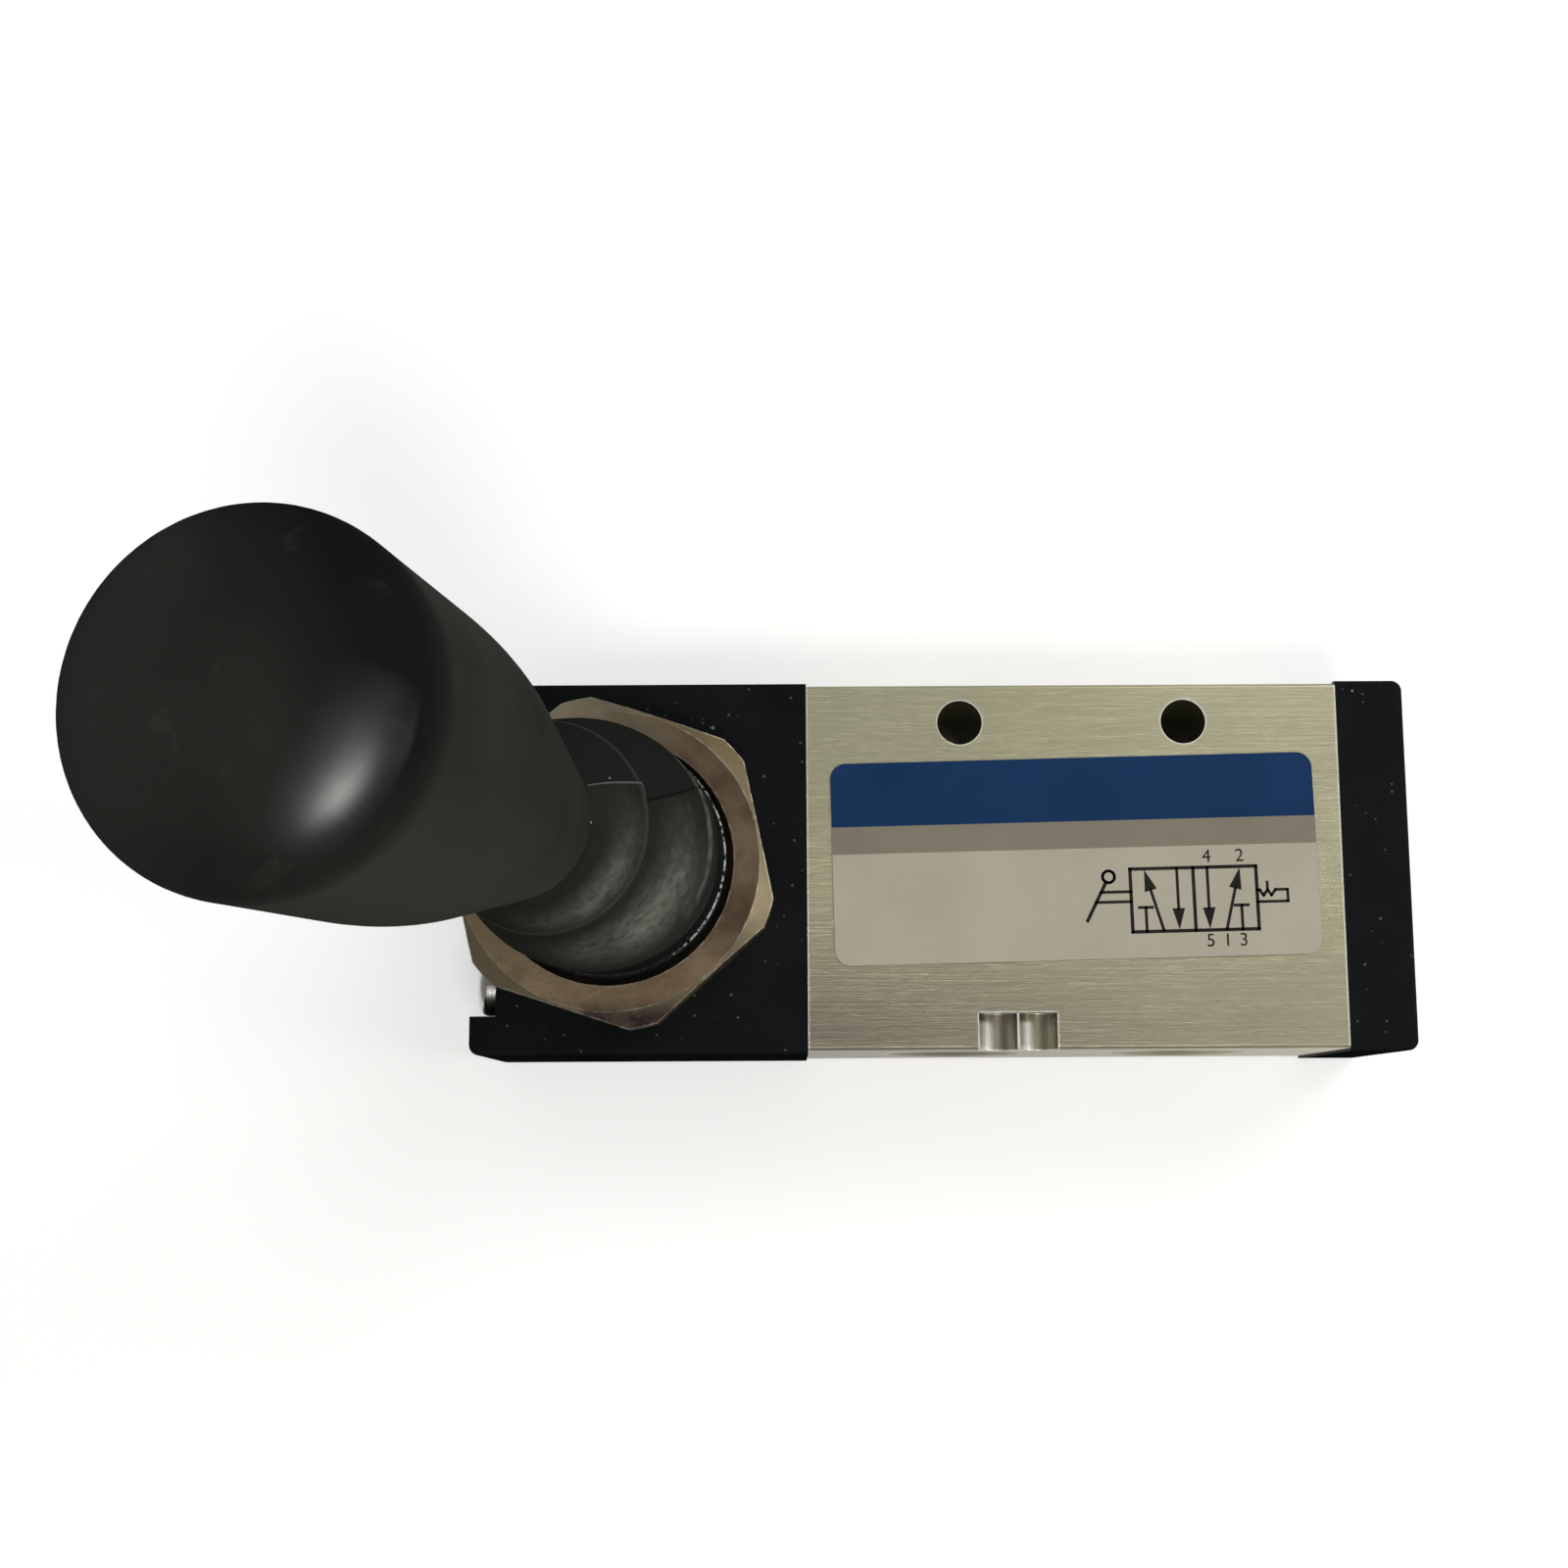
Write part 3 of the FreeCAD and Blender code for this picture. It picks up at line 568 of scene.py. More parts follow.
def steelMaterial(name):
    # Turned or drawn metal: rings along an axis, bright edges.
    dark, light, roughness, axis, scale = steel[name]
    material, tree, surface = newMaterial(name, Metallic=1.0)
    marks = placed(tree, rings, AxisX=axis[0], AxisZ=axis[1], Rings=scale)["Rings"]
    worn = placed(tree, edges, Radius=0.0003, Gain=2.5)["Mask"]
    colour = layered(mixedColour(marks, dark, light), (worn, steel["edge"]))
    finish(surface, colour, marks, marks, roughness, steel["depth"])
    return material


grip = {
    "sideDark": (0.0240, 0.0239, 0.0218),
    "sideLight": (0.0350, 0.0348, 0.0318),
    "topMiddle": -59.2 * mm,  # X
    # where the palm has polished the top
    "topDark": (0.0070, 0.0071, 0.0064),
    "topLight": (0.0115, 0.0116, 0.0104),
    "polished": (83.5, 84.9),  # mm along the lever
    "polishedWay": (0.89, -0.46),
    "polishedFrom": (5.0 * mm, 8.0 * mm),
    "polishedAside": (6.4 * mm, 2.2 * mm),  # how far it reaches round the top
    "polishedShift": 1.2 * mm,
    # painted light on the shank's sides that face ±Y
    "flank": (0.052, 0.051, 0.047),
    "flankFacing": (0.30, 0.85),
    "flankMost": 0.85,
    "flankTop": (83.0, 80.0),  # mm along the lever
    # crown: painted shade on its near side and in the middle, painted light on its far side
    "nearRim": (-5.5 * mm, -9.5 * mm),  # Y
    "nearMost": 0.34,
    "middle": (-9.0 * mm, -1.0 * mm),  # X from the top's middle
    "middleMost": 0.20,
    "farSide": (0.046, 0.045, 0.042),
    "farFrom": (-1.0 * mm, -11.0 * mm),  # X from the top's middle
    "farMost": 0.6,
    # painted shade: dark band round the crown
    "band": (0.0055, 0.0056, 0.0050),
    "bandFoot": (79.0, 83.2),  # mm along the lever
    "bandHead": (87.05, 86.1),
    "bandWay": (0.90, 0.43),
    "bandFrom": (1.0 * mm, 8.5 * mm),
    "bandMost": 0.78,
    "scuff": (0.060, 0.060, 0.054),
    "scuffHeight": (0.72, 1.0),
    "scuffTone": (0.55, 0.9),
    "scuffMost": 0.35,
    "dust": (0.12, 0.12, 0.11),
    "coat": {"CoatRoughness": 0.36, "CoatIOR": 1.75},
    "roughness": (0.58, 0.68),
    "depth": 0.005 * mm,
}


def gripMaterial():
    # Satin black phenolic of the knob, polished by the hand at its top, with faint rubbed patches, painted
    # light on its shank's sides and crown's far side, and painted shade on its crown's near rim, middle and
    # round band.
    material, tree, surface = newMaterial("gripPlastic", SpecularIORLevel=0.0, **grip["coat"])
    texture = placed(tree, grain, Grain=5200.0, Blotch=75.0)
    patches = placed(tree, grain, Grain=260.0, Blotch=330.0)
    specks = placed(tree, dust, Cells=330.0, Speck=0.03, Amount=0.10)["Mask"]
    place = split(objectPlace(tree))
    facing = split(surfaceNormal(tree))
    pivotHeight = (leverAxis[0] * leverPivot[0] + leverAxis[1] * leverPivot[1]) * mm
    height = towards(objectPlace(tree), (leverAxis[0], 0.0, leverAxis[1]))
    height = maths("DIVIDE", maths("SUBTRACT", height, pivotHeight), mm)  # mm along the lever
    reach = maths("SUBTRACT", place["X"], grip["topMiddle"])
    wayX, wayY = grip["polishedWay"]
    aside = maths("ADD", weighed(place["Y"], reach, (wayX, -wayY)), grip["polishedShift"])
    polish = product(
        rangeOf(height, *grip["polished"]),
        rangeOf(weighed(reach, place["Y"], grip["polishedWay"]), *grip["polishedFrom"]),
        rangeOf(maths("ABSOLUTE", aside), *grip["polishedAside"]),
    )
    # painted light: the shank lighter on its sides that face ±Y
    flank = product(
        rangeOf(maths("ABSOLUTE", facing["Y"]), *grip["flankFacing"], 0.0, grip["flankMost"]),
        rangeOf(height, *grip["flankTop"]),
    )
    # painted shade on the crown's near rim and middle, painted light on its far side
    nearRim = rangeOf(place["Y"], *grip["nearRim"], 0.0, grip["nearMost"])
    middle = rangeOf(reach, *grip["middle"], 0.0, grip["middleMost"])
    shaded = product(rangeOf(height, *reversed(grip["flankTop"])), maths("MAXIMUM", nearRim, middle))
    # painted shade: a dark band round the crown's rim
    band = product(
        rangeOf(height, *grip["bandFoot"]),
        rangeOf(height, *grip["bandHead"]),
        rangeOf(weighed(reach, place["Y"], grip["bandWay"]), *grip["bandFrom"], 0.0, grip["bandMost"]),
    )
    scuffed = product(
        rangeOf(patches["Height"], *grip["scuffHeight"], 0.0, grip["scuffMost"]),
        rangeOf(patches["Tone"], *grip["scuffTone"]),
    )
    colour = layered(
        mixedColour(texture["Tone"], grip["sideDark"], grip["sideLight"]),
        (polish, mixedColour(texture["Tone"], grip["topDark"], grip["topLight"])),
        (flank, grip["flank"]),
        (shaded, grip["band"]),
        (rangeOf(reach, *grip["farFrom"], 0.0, grip["farMost"]), grip["farSide"]),
        (band, grip["band"]),
        (scuffed, grip["scuff"]),
        (specks, grip["dust"]),
    )
    feed(polish, surface["Coat Weight"])
    finish(surface, colour, texture["Tone"], texture["Height"], grip["roughness"], grip["depth"])
    return material


rubber = {
    "dark": (0.0170, 0.0172, 0.0150),
    "light": (0.0250, 0.0250, 0.0220),
    # dust together with a painted highlight
    "bloom": (0.258, 0.254, 0.220),
    "dustyWay": (0.72, -0.69, 0.06),  # the skin facing this way has most dust and painted highlight
    "dustyFacing": (0.15, 0.98, 0.05, 1.0),
    "dustyFalloff": 3.5,
    # dust and painted highlight kept at each share of the way up
    "dustyBands": [
        (0.05, 0.0), (0.24, 0.10), (0.33, 0.45), (0.42, 1.00), (0.51, 0.85), (0.58, 0.42),
        (0.65, 0.05), (0.690, 0.05), (0.74, 0.25), (0.81, 1.00), (0.86, 0.60), (0.92, 0.0),
    ],
    "cloudLeast": (0.40, 0.50),  # least dust and painted highlight where the two cloud noises are thin
    # cleaner half, darker in part as painted shade
    "clean": (0.0150, 0.0165, 0.0142),
    "cleanMost": 0.85,
    # rubbed paler and painted highlight at the lip and along the ridge between the tiers
    "rubbed": (0.068, 0.068, 0.064),
    "rubbedBands": [
        (0.008, 0.0), (0.016, 0.7), (0.028, 0.7), (0.040, 0.0),
        (0.690, 0.0), (0.708, 0.45), (0.716, 0.45), (0.735, 0.0),
    ],
    # painted highlight on the widest place, on the side below
    "brim": (0.175, 0.172, 0.160),
    "brimBand": [(0.20, 0.0), (0.235, 0.75), (0.25, 0.75), (0.275, 0.0)],
    "brimWay": (0.98, 0.17, 0.0),
    "brimFacing": (0.6, 0.95),
    "brimCloud": (0.2, 0.8, 0.25, 1.0),
    # painted highlight on the raised moulding line, painted shade in its groove
    "raised": (0.10, 0.10, 0.096),
    "raisedFrom": (0.2, 0.7),
    "grooved": (0.0020, 0.0020, 0.0020),
    "groovedFrom": (-0.2, -0.7),
    "groovedMost": 0.6,
    "dust": (0.30, 0.30, 0.29),
    "roughness": (0.56, 0.70),
    "depth": 0.02 * mm,
}


def rubberMaterial():
    # Black rubber of the boot: one half clean and partly in painted shade, the other dusty with a painted
    # highlight where it faces down the valve; painted highlights at the lip, ridge, widest place and raised
    # moulding line, and painted shade in its groove.
    material, tree, surface = newMaterial("bootRubber", SpecularIORLevel=0.0)
    texture = placed(tree, grain, Grain=3600.0, Blotch=210.0)
    cloud = placed(tree, grain, Grain=1100.0, Blotch=260.0)
    specks = placed(tree, dust, Cells=620.0, Speck=0.08, Amount=0.20)["Mask"]
    worn = placed(tree, edges, Radius=0.0003, Gain=3.0)["Mask"]
    half = vertexValue(tree, "smoothHalf")
    seam = vertexValue(tree, "seam")
    share = vertexValue(tree, "share")
    sheen = rangeOf(towards(surfaceNormal(tree), rubber["dustyWay"]), *rubber["dustyFacing"])
    leastHeight, leastTone = rubber["cloudLeast"]
    # dust and painted highlight, on the side that faces the light
    dusty = product(
        maths("POWER", sheen, rubber["dustyFalloff"]),
        stepped(share, rubber["dustyBands"]),
        maths("SUBTRACT", 1.0, half),
        rangeOf(cloud["Height"], 0.0, 1.0, leastHeight, 1.0),
        rangeOf(cloud["Tone"], 0.0, 1.0, leastTone, 1.0),
    )
    brimHighlightMask = product(
        stepped(share, rubber["brimBand"]),
        rangeOf(towards(surfaceNormal(tree), rubber["brimWay"]), *rubber["brimFacing"]),
        rangeOf(cloud["Height"], *rubber["brimCloud"]),
    )
    colour = layered(
        mixedColour(texture["Tone"], rubber["dark"], rubber["light"]),
        (dusty, rubber["bloom"]),
        # cleaner half, partly painted shade
        (product(half, rubber["cleanMost"]), rubber["clean"]),
        # wear at edges, and painted highlight at the lip and the ridge
        (maths("MAXIMUM", worn, stepped(share, rubber["rubbedBands"])), rubber["rubbed"]),
        (brimHighlightMask, rubber["brim"]),
        (rangeOf(seam, *rubber["raisedFrom"]), rubber["raised"]),
        (rangeOf(seam, *rubber["groovedFrom"], 0.0, rubber["groovedMost"]), rubber["grooved"]),
        (specks, rubber["dust"]),
    )
    finish(surface, colour, texture["Tone"], texture["Height"], rubber["roughness"], rubber["depth"])
    return material


plain = {
    "depth": 0.004 * mm,
    # dark, light, roughness, metallic, gloss
    "springSteel": ((0.36, 0.36, 0.37), (0.50, 0.50, 0.51), (0.23, 0.33), 1.0, 0.5),
    "insertBrass": ((0.55, 0.40, 0.16), (0.68, 0.50, 0.21), (0.25, 0.35), 1.0, 0.5),
    "guideAcetal": ((0.62, 0.61, 0.57), (0.70, 0.69, 0.65), (0.33, 0.43), 0.0, 0.5),
    "sealRubber": ((0.010, 0.010, 0.011), (0.020, 0.020, 0.021), (0.40, 0.50), 0.0, 0.5),
    "labelInk": ((0.012, 0.011, 0.009), (0.026, 0.023, 0.019), (0.45, 0.55), 0.0, 0.08),
}


def plainMaterial(name):
    # Simple moulded or cast finish for small inner pieces, and printed ink.
    dark, light, roughness, metallic, gloss = plain[name]
    material, tree, surface = newMaterial(name, Metallic=metallic, SpecularIORLevel=gloss)
    texture = placed(tree, grain, Grain=6000.0, Blotch=300.0)
    colour = mixedColour(texture["Tone"], dark, light)
    finish(surface, colour, texture["Tone"], texture["Height"], roughness, plain["depth"])
    return material


film = {
    "toneWeights": (0.65, 0.35),  # slow change of tone and fine grain
    "speck": (0.55, 0.55, 0.52),
    "depth": 0.002 * mm,
    # dark, light, roughness, gloss
    "labelFilm": ((0.30, 0.28, 0.22), (0.42, 0.39, 0.31), (0.38, 0.48), 0.25),
    "labelBlue": ((0.0085, 0.0350, 0.1060), (0.0115, 0.0440, 0.1300), (0.32, 0.42), 0.08),
    "labelGrey": ((0.225, 0.200, 0.150), (0.280, 0.250, 0.188), (0.38, 0.48), 0.25),
    "labelPale": ((0.435, 0.398, 0.313), (0.545, 0.500, 0.398), (0.38, 0.48), 0.25),
}


def filmMaterial(name):
    # Printed film of the label.
    dark, light, roughness, gloss = film[name]
    material, tree, surface = newMaterial(name, SpecularIORLevel=gloss)
    texture = placed(tree, grain, Grain=5000.0, Blotch=90.0)
    specks = placed(tree, dust, Cells=300.0, Speck=0.04, Amount=0.05)["Mask"]
    tone = weighed(texture["Tone"], texture["Height"], film["toneWeights"])
    colour = layered(mixedColour(tone, dark, light), (specks, film["speck"]))
    finish(surface, colour, texture["Tone"], texture["Height"], roughness, film["depth"])
    return material


# slot name: its material and the CAD nodes that wear it
finishes = {
    "brushed_aluminium": (aluminiumMaterial(), ["valve_body"]),
    "black_moulding": (mouldingMaterial(), ["lever_housing", "end_cap"]),
    "nickel_plate": (nickelMaterial(), ["panel_nut"]),
    "spool_aluminium": (steelMaterial("spoolAluminium"), ["spool"]),
    "plated_screw": (steelMaterial("platedScrew"), ["housing_screws", "cap_screws"]),
    "lever_steel": (steelMaterial("leverSteel"), ["lever_rod", "pivot_pin", "spool_yoke"]),
    "spring_steel": (plainMaterial("springSteel"), ["detent_spring"]),
    "insert_brass": (plainMaterial("insertBrass"), ["knob_insert"]),
    "guide_acetal": (plainMaterial("guideAcetal"), ["guide_bush"]),
    "grip_plastic": (gripMaterial(), ["knob"]),
    "boot_rubber": (rubberMaterial(), ["dust_boot"]),
    "seal_rubber": (
        plainMaterial("sealRubber"),
        ["spool_seals", "ring_bumper", "end_bumper", "housing_seal", "cap_seal"],
    ),
    "label_film": (filmMaterial("labelFilm"), ["label_plate"]),
}


def dressNodes():
    # Give every carried-over CAD node its finish.
    for material, names in finishes.values():
        for name in names:
            materials = nodes[name].data.materials
            materials.clear()
            materials.append(material)


dressNodes()
print("finishes placed on", sum(len(names) for _, names in finishes.values()), "nodes")


def newPiece(name, mesh, body, material):
    # Link a finished mesh, give it its material, and let it ride on its body.
    piece = linked(name, mesh)
    if material is not None:
        mesh.materials.append(material)
    if body:
        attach(piece, body)
    return piece


def smoothMesh(bm, name):
    bmesh.ops.recalc_face_normals(bm, faces=bm.faces)
    mesh = bpy.data.meshes.new(name)
    bm.to_mesh(mesh)
    bm.free()
    mesh.shade_smooth()
    return mesh


def printedMesh(bm, name):
    # Flat mesh of the label's print, with every face turned up.
    mesh = bpy.data.meshes.new(name)
    for face in bm.faces:
        face.normal_update()
        if face.normal.z < 0:
            face.normal_flip()
    bm.to_mesh(mesh)
    bm.free()
    return mesh


def finalMesh(holder):
    # Mesh of an object with its modifiers or letters worked out; the object goes.
    bpy.context.view_layer.update()
    mesh = bpy.data.meshes.new_from_object(holder.evaluated_get(bpy.context.evaluated_depsgraph_get()))
    bpy.data.objects.remove(holder)
    return mesh


def joinLoops(bm, low, high):
    # Band of faces between two closed loops of vertices.
    count = len(low)
    for k in range(count):
        bm.faces.new((low[k], low[(k + 1) % count], high[(k + 1) % count], high[k]))


# Dust boot

boot = {
    "neckTop": 31.0,
    "top": 30.6,  # along the lever from the pivot
    "straighten": 1.4,  # a section's tilt grows this much faster than its share
    # share of the way up, radius, mm
    "outline": [
        (0.000, 10.05), (0.004, 10.34), (0.014, 10.42), (0.028, 10.42), (0.036, 10.32), (0.042, 10.14),
        (0.050, 10.16), (0.064, 10.62), (0.085, 10.92), (0.120, 11.12), (0.170, 11.24), (0.230, 11.28),
        (0.290, 11.20), (0.350, 10.97), (0.420, 10.62), (0.500, 10.20), (0.570, 9.86), (0.620, 9.58),
        (0.650, 9.36), (0.664, 9.18), (0.672, 9.10), (0.680, 9.14), (0.688, 9.12), (0.695, 9.06),
        (0.702, 9.12), (0.709, 9.22), (0.717, 9.20), (0.725, 9.04), (0.740, 8.94), (0.765, 8.82),
        (0.795, 8.56), (0.830, 8.24), (0.865, 7.86), (0.895, 7.48), (0.920, 7.14), (0.945, 6.80),
        (0.962, 6.58), (0.978, 6.50), (0.990, 6.55), (1.000, 6.45),
    ],
    # inside of the skin, from the top down to the plug in the neck: share, radius, drop at the neck
    "inside": [
        (1.000, 4.30, 0.0), (0.920, 4.30, 0.0), (0.880, 5.90, 0.0), (0.800, 7.10, 0.0), (0.600, 8.40, 0.0),
        (0.300, 9.70, 0.0), (0.060, 9.00, 0.0), (0.045, 7.05, 0.0), (0.000, 7.00, 1.4), (0.000, 8.15, 1.4),
        (0.000, 8.20, 0.05),
    ],
    # moulding line: share of the way up and its angle from +X, degrees
    "partingLine": [
        (0.0, 30.0), (0.04, 29.6), (0.22, 27.0), (0.43, 20.0), (0.66, 13.6),
        (0.700, 12.8), (0.708, 22.0), (0.80, 22.5), (0.93, 24.5), (1.0, 25.5),
    ],
    "lineEnds": (0.045, 0.99),  # shares between which the line and the step are moulded
    "lineFade": 0.03,
    "lineHalf": 1.1,  # degrees
    "columns": [0.0, 0.55, 1.1, 2.0, 4.0, 8.0],  # degrees from the moulding line, before the even ones
    "evenColumns": 14,
    "flash": 0.10,  # height of the moulding line over the upper tier
    "groove": 0.10,  # its depth into the lower tier
    "tierShare": 0.70,  # where the upper tier starts
    "step": 0.08,  # one half of the mould stands this much prouder
    "sway": 0.5,  # the boot bows this much sideways at its middle
    "smoothing": 2,
    "bendEnd": 0.93,  # share of the way up, near the top of the boot
}


def along(table, share):
    # Value of a (share, value) table at a share, by straight steps.
    for (lowShare, lowValue), (highShare, highValue) in zip(table, table[1:]):
        if share <= highShare:
            part = (share - lowShare) / (highShare - lowShare)
            return lowValue + (highValue - lowValue) * part
    return table[-1][1]


def bootFrame(share, drop=0.0):
    # Middle of a boot section, and the direction it faces, in mm.
    pivotX, pivotZ = leverPivot
    low = Vector((pivotX, 0.0, boot["neckTop"]))
    high = Vector((pivotX + boot["top"] * leverAxis[0], 0.0, pivotZ + boot["top"] * leverAxis[1]))
    angle = math.radians(leverTilt) * min(1.0, boot["straighten"] * share)
    normal = Vector((-math.sin(angle), 0.0, math.cos(angle)))
    return low + (high - low) * share - Vector((0.0, 0.0, drop)), normal


def bootColumns():
    # Angles round the boot, close together at the two moulding lines.
    near = boot["columns"]
    between = 180.0 - 2.0 * near[-1]
    even = [near[-1] + between * k / boot["evenColumns"] for k in range(boot["evenColumns"] + 1)]
    half = sorted(set(near + even + [180.0 - a for a in near[1:]]))
    return half + [180.0 + a for a in half[1:-1]]


def bootRelief(share, column):
    # Height of the moulding line (1 raised, -1 grooved) and how far the skin is pushed out, mm.
    low, high = boot["lineEnds"]
    if not low < share < high:
        return 0.0, 0.0
    fade = min(1.0, (share - low) / boot["lineFade"], (high - share) / boot["lineFade"])
    nearest = min(column, abs(column - 180.0), 360.0 - column)
    line = 0.0
    push = 0.0
    if nearest < boot["lineHalf"]:
        upper = share > boot["tierShare"]
        line = fade * (1.0 - nearest / boot["lineHalf"]) * (1.0 if upper else -1.0)
        push += line * (boot["flash"] if upper else boot["groove"])
    if 0.0 < column < 180.0:
        push -= boot["step"] * fade * min(1.0, nearest / boot["lineHalf"])
    return line, push


def makeBoot():
    sections = [(share, radius, 0.0, True) for share, radius in boot["outline"]]
    sections += [(share, radius, drop, False) for share, radius, drop in boot["inside"]]
    columns = bootColumns()
    across = Vector((0.0, 1.0, 0.0))
    bm = bmesh.new()
    smoothHalf = bm.verts.layers.float.new("smoothHalf")  # 1 on the cleaner half of the skin, which also takes painted shade
    seam = bm.verts.layers.float.new("seam")  # 1 on the raised moulding line, -1 in its grooved part
    height = bm.verts.layers.float.new("share")  # share of the way up, outside only
    loops = []
    for share, radius, drop, outside in sections:
        middle, normal = bootFrame(share, drop)
        ahead = across.cross(normal)
        middle = middle + across * boot["sway"] * 4.0 * share * (1.0 - share)
        start = along(boot["partingLine"], share)
        loop = []
        for column in columns:
            line, push = bootRelief(share, column) if outside else (0.0, 0.0)
            turn = math.radians(start + column)
            point = middle + (ahead * math.cos(turn) + across * math.sin(turn)) * (radius + push)
            vert = bm.verts.new(point * mm)
            vert[smoothHalf] = 1.0 if 0.0 < column < 180.0 else 0.0
            vert[seam] = line
            vert[height] = share if outside else 0.0
            loop.append(vert)
        loops.append(loop)
    for low, high in zip(loops, loops[1:] + loops[:1]):
        joinLoops(bm, low, high)
    shaped = linked("bootRaw", smoothMesh(bm, "bootRaw"))
    smoother = shaped.modifiers.new("smooth", "SUBSURF")
    smoother.levels = boot["smoothing"]
    smoother.render_levels = boot["smoothing"]
    skin = finalMesh(shaped)
    skin.name = "dustBootSkin"
    skin.materials.clear()
    piece = newPiece("dustBootSkin", skin, None, finishes["boot_rubber"][0])
    top, _ = bootFrame(boot["bendEnd"])
    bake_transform(piece)
    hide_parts("dust_boot")


makeBoot()
print("dust boot made")

# Threads in the five ports

portThreads = {
    "blockHalf": 17.5,
    "height": 11.0,  # spool axis over the rear face
    "clear": 0.02,
    "columns": 72,
    "rowsPerTurn": 8,
    "fadeIn": 0.6,  # turns
    "fadeOut": 1.2,
    "flank": 0.42,  # turns from the crest to the foot of the ridge
    "crestCut": 1.25,  # a sharp crest would be 1
    # name, X, side of the block, hole radius, start and end depth, pitch, ridge
    "ports": [
        ("supplyThread", 0.0, 1, 5.9, 0.75, 8.7, 1.337, 0.42),
        ("outletThreadA", 11.0, -1, 5.9, 0.75, 8.7, 1.337, 0.42),
        ("outletThreadB", -11.0, -1, 5.9, 0.75, 8.7, 1.337, 0.42),
        ("exhaustThreadR", -18.5, 1, 4.35, 0.55, 7.4, 0.907, 0.30),
        ("exhaustThreadS", 18.5, 1, 4.35, 0.55, 7.4, 0.907, 0.30),
    ],
}


def makePortThread(name, x, side, radius, start, end, pitch, ridge):
    # Helical thread ridge that lines a port's hole.
    rows = int((end - start) / pitch * portThreads["rowsPerTurn"])
    columns = portThreads["columns"]
    bm = bmesh.new()
    loops = []
    for row in range(rows + 1):
        depth = start + (end - start) * row / rows
        fadeIn = (depth - start) / (portThreads["fadeIn"] * pitch)
        fadeOut = (end - depth) / (portThreads["fadeOut"] * pitch)
        y = side * (portThreads["blockHalf"] - depth)
        loop = []
        for column in range(columns):
            phase = (depth / pitch + column / columns) % 1.0
            crest = max(0.0, 1.0 - abs(phase - 0.5) / portThreads["flank"])
            rise = min(1.0, fadeIn, fadeOut) * min(1.0, portThreads["crestCut"] * crest)
            reach = radius - portThreads["clear"] - ridge * rise
            turn = 2 * math.pi * column / columns
            z = portThreads["height"] + reach * math.sin(turn)
            loop.append(bm.verts.new(Vector((x + reach * math.cos(turn), y, z)) * mm))
        loops.append(loop)
    for low, high in zip(loops, loops[1:]):
        joinLoops(bm, low, high)
    newPiece(name, smoothMesh(bm, name), "valve", finishes["spool_aluminium"][0])


for port in portThreads["ports"]:
    makePortThread(*port)
print("port threads made")

# Label print

label = {
    "centre": (0.0, 0.6),
    "turn": 1.2,  # degrees
    "size": (46.2, 19.4),
    "corner": 1.5,
    "cornerSteps": 8,
    "inset": 0.03,
    "faceLift": 0.012,
    "inkLift": 0.024,
    "blueDownTo": 3.53,
    "greyDownTo": 0.90,
    "lineWidth": 0.33,
    "middleLine": 0.85,  # share of the line width
    "fineLine": 0.8,
    "numberSize": 1.75,
}
labelHalfX, labelHalfY = [side / 2 - label["inset"] for side in label["size"]]
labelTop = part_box("label_plate")[1][2]


def labelSpot(x, y, lift):
    # Point of the label in its own frame, carried to its place, in metres.
    turn = math.radians(label["turn"])
    return Vector((
        (label["centre"][0] + x * math.cos(turn) - y * math.sin(turn)) * mm,
        (label["centre"][1] + x * math.sin(turn) + y * math.cos(turn)) * mm,
        labelTop + lift * mm,
    ))


def printFace(bm, points, lift):
    # One flat face through points of the label.
    return bm.faces.new([bm.verts.new(labelSpot(x, y, lift)) for x, y in points])


def labelCorners():
    # Points round the four corners of the printed face, counter-clockwise from the lower right one.
    corner = label["corner"] - label["inset"]
    steps = label["cornerSteps"]
    corners = []
    for signX, signY, start in ((1, -1, -90), (1, 1, 0), (-1, 1, 90), (-1, -1, 180)):
        turns = [math.radians(start + 90 * k / steps) for k in range(steps + 1)]
        middleX, middleY = signX * (labelHalfX - corner), signY * (labelHalfY - corner)
        corners.append([(middleX + corner * math.cos(t), middleY + corner * math.sin(t)) for t in turns])
    return corners


def makeLabelFace():
    # Three bands of printed film on the label.
    lowerRight, upperRight, upperLeft, lowerLeft = labelCorners()
    high, low = label["blueDownTo"], label["greyDownTo"]
    bands = [
        upperRight + upperLeft + [(-labelHalfX, high), (labelHalfX, high)],
        [(labelHalfX, low), (labelHalfX, high), (-labelHalfX, high), (-labelHalfX, low)],
        [(labelHalfX, low), (-labelHalfX, low)] + lowerLeft + lowerRight,
    ]
    bm = bmesh.new()
    for number, band in enumerate(bands):
        printFace(bm, band, label["faceLift"]).material_index = number
    mesh = printedMesh(bm, "labelFace")
    for tint in ("labelBlue", "labelGrey", "labelPale"):
        mesh.materials.append(filmMaterial(tint))
    newPiece("labelFace", mesh, "valve", None)


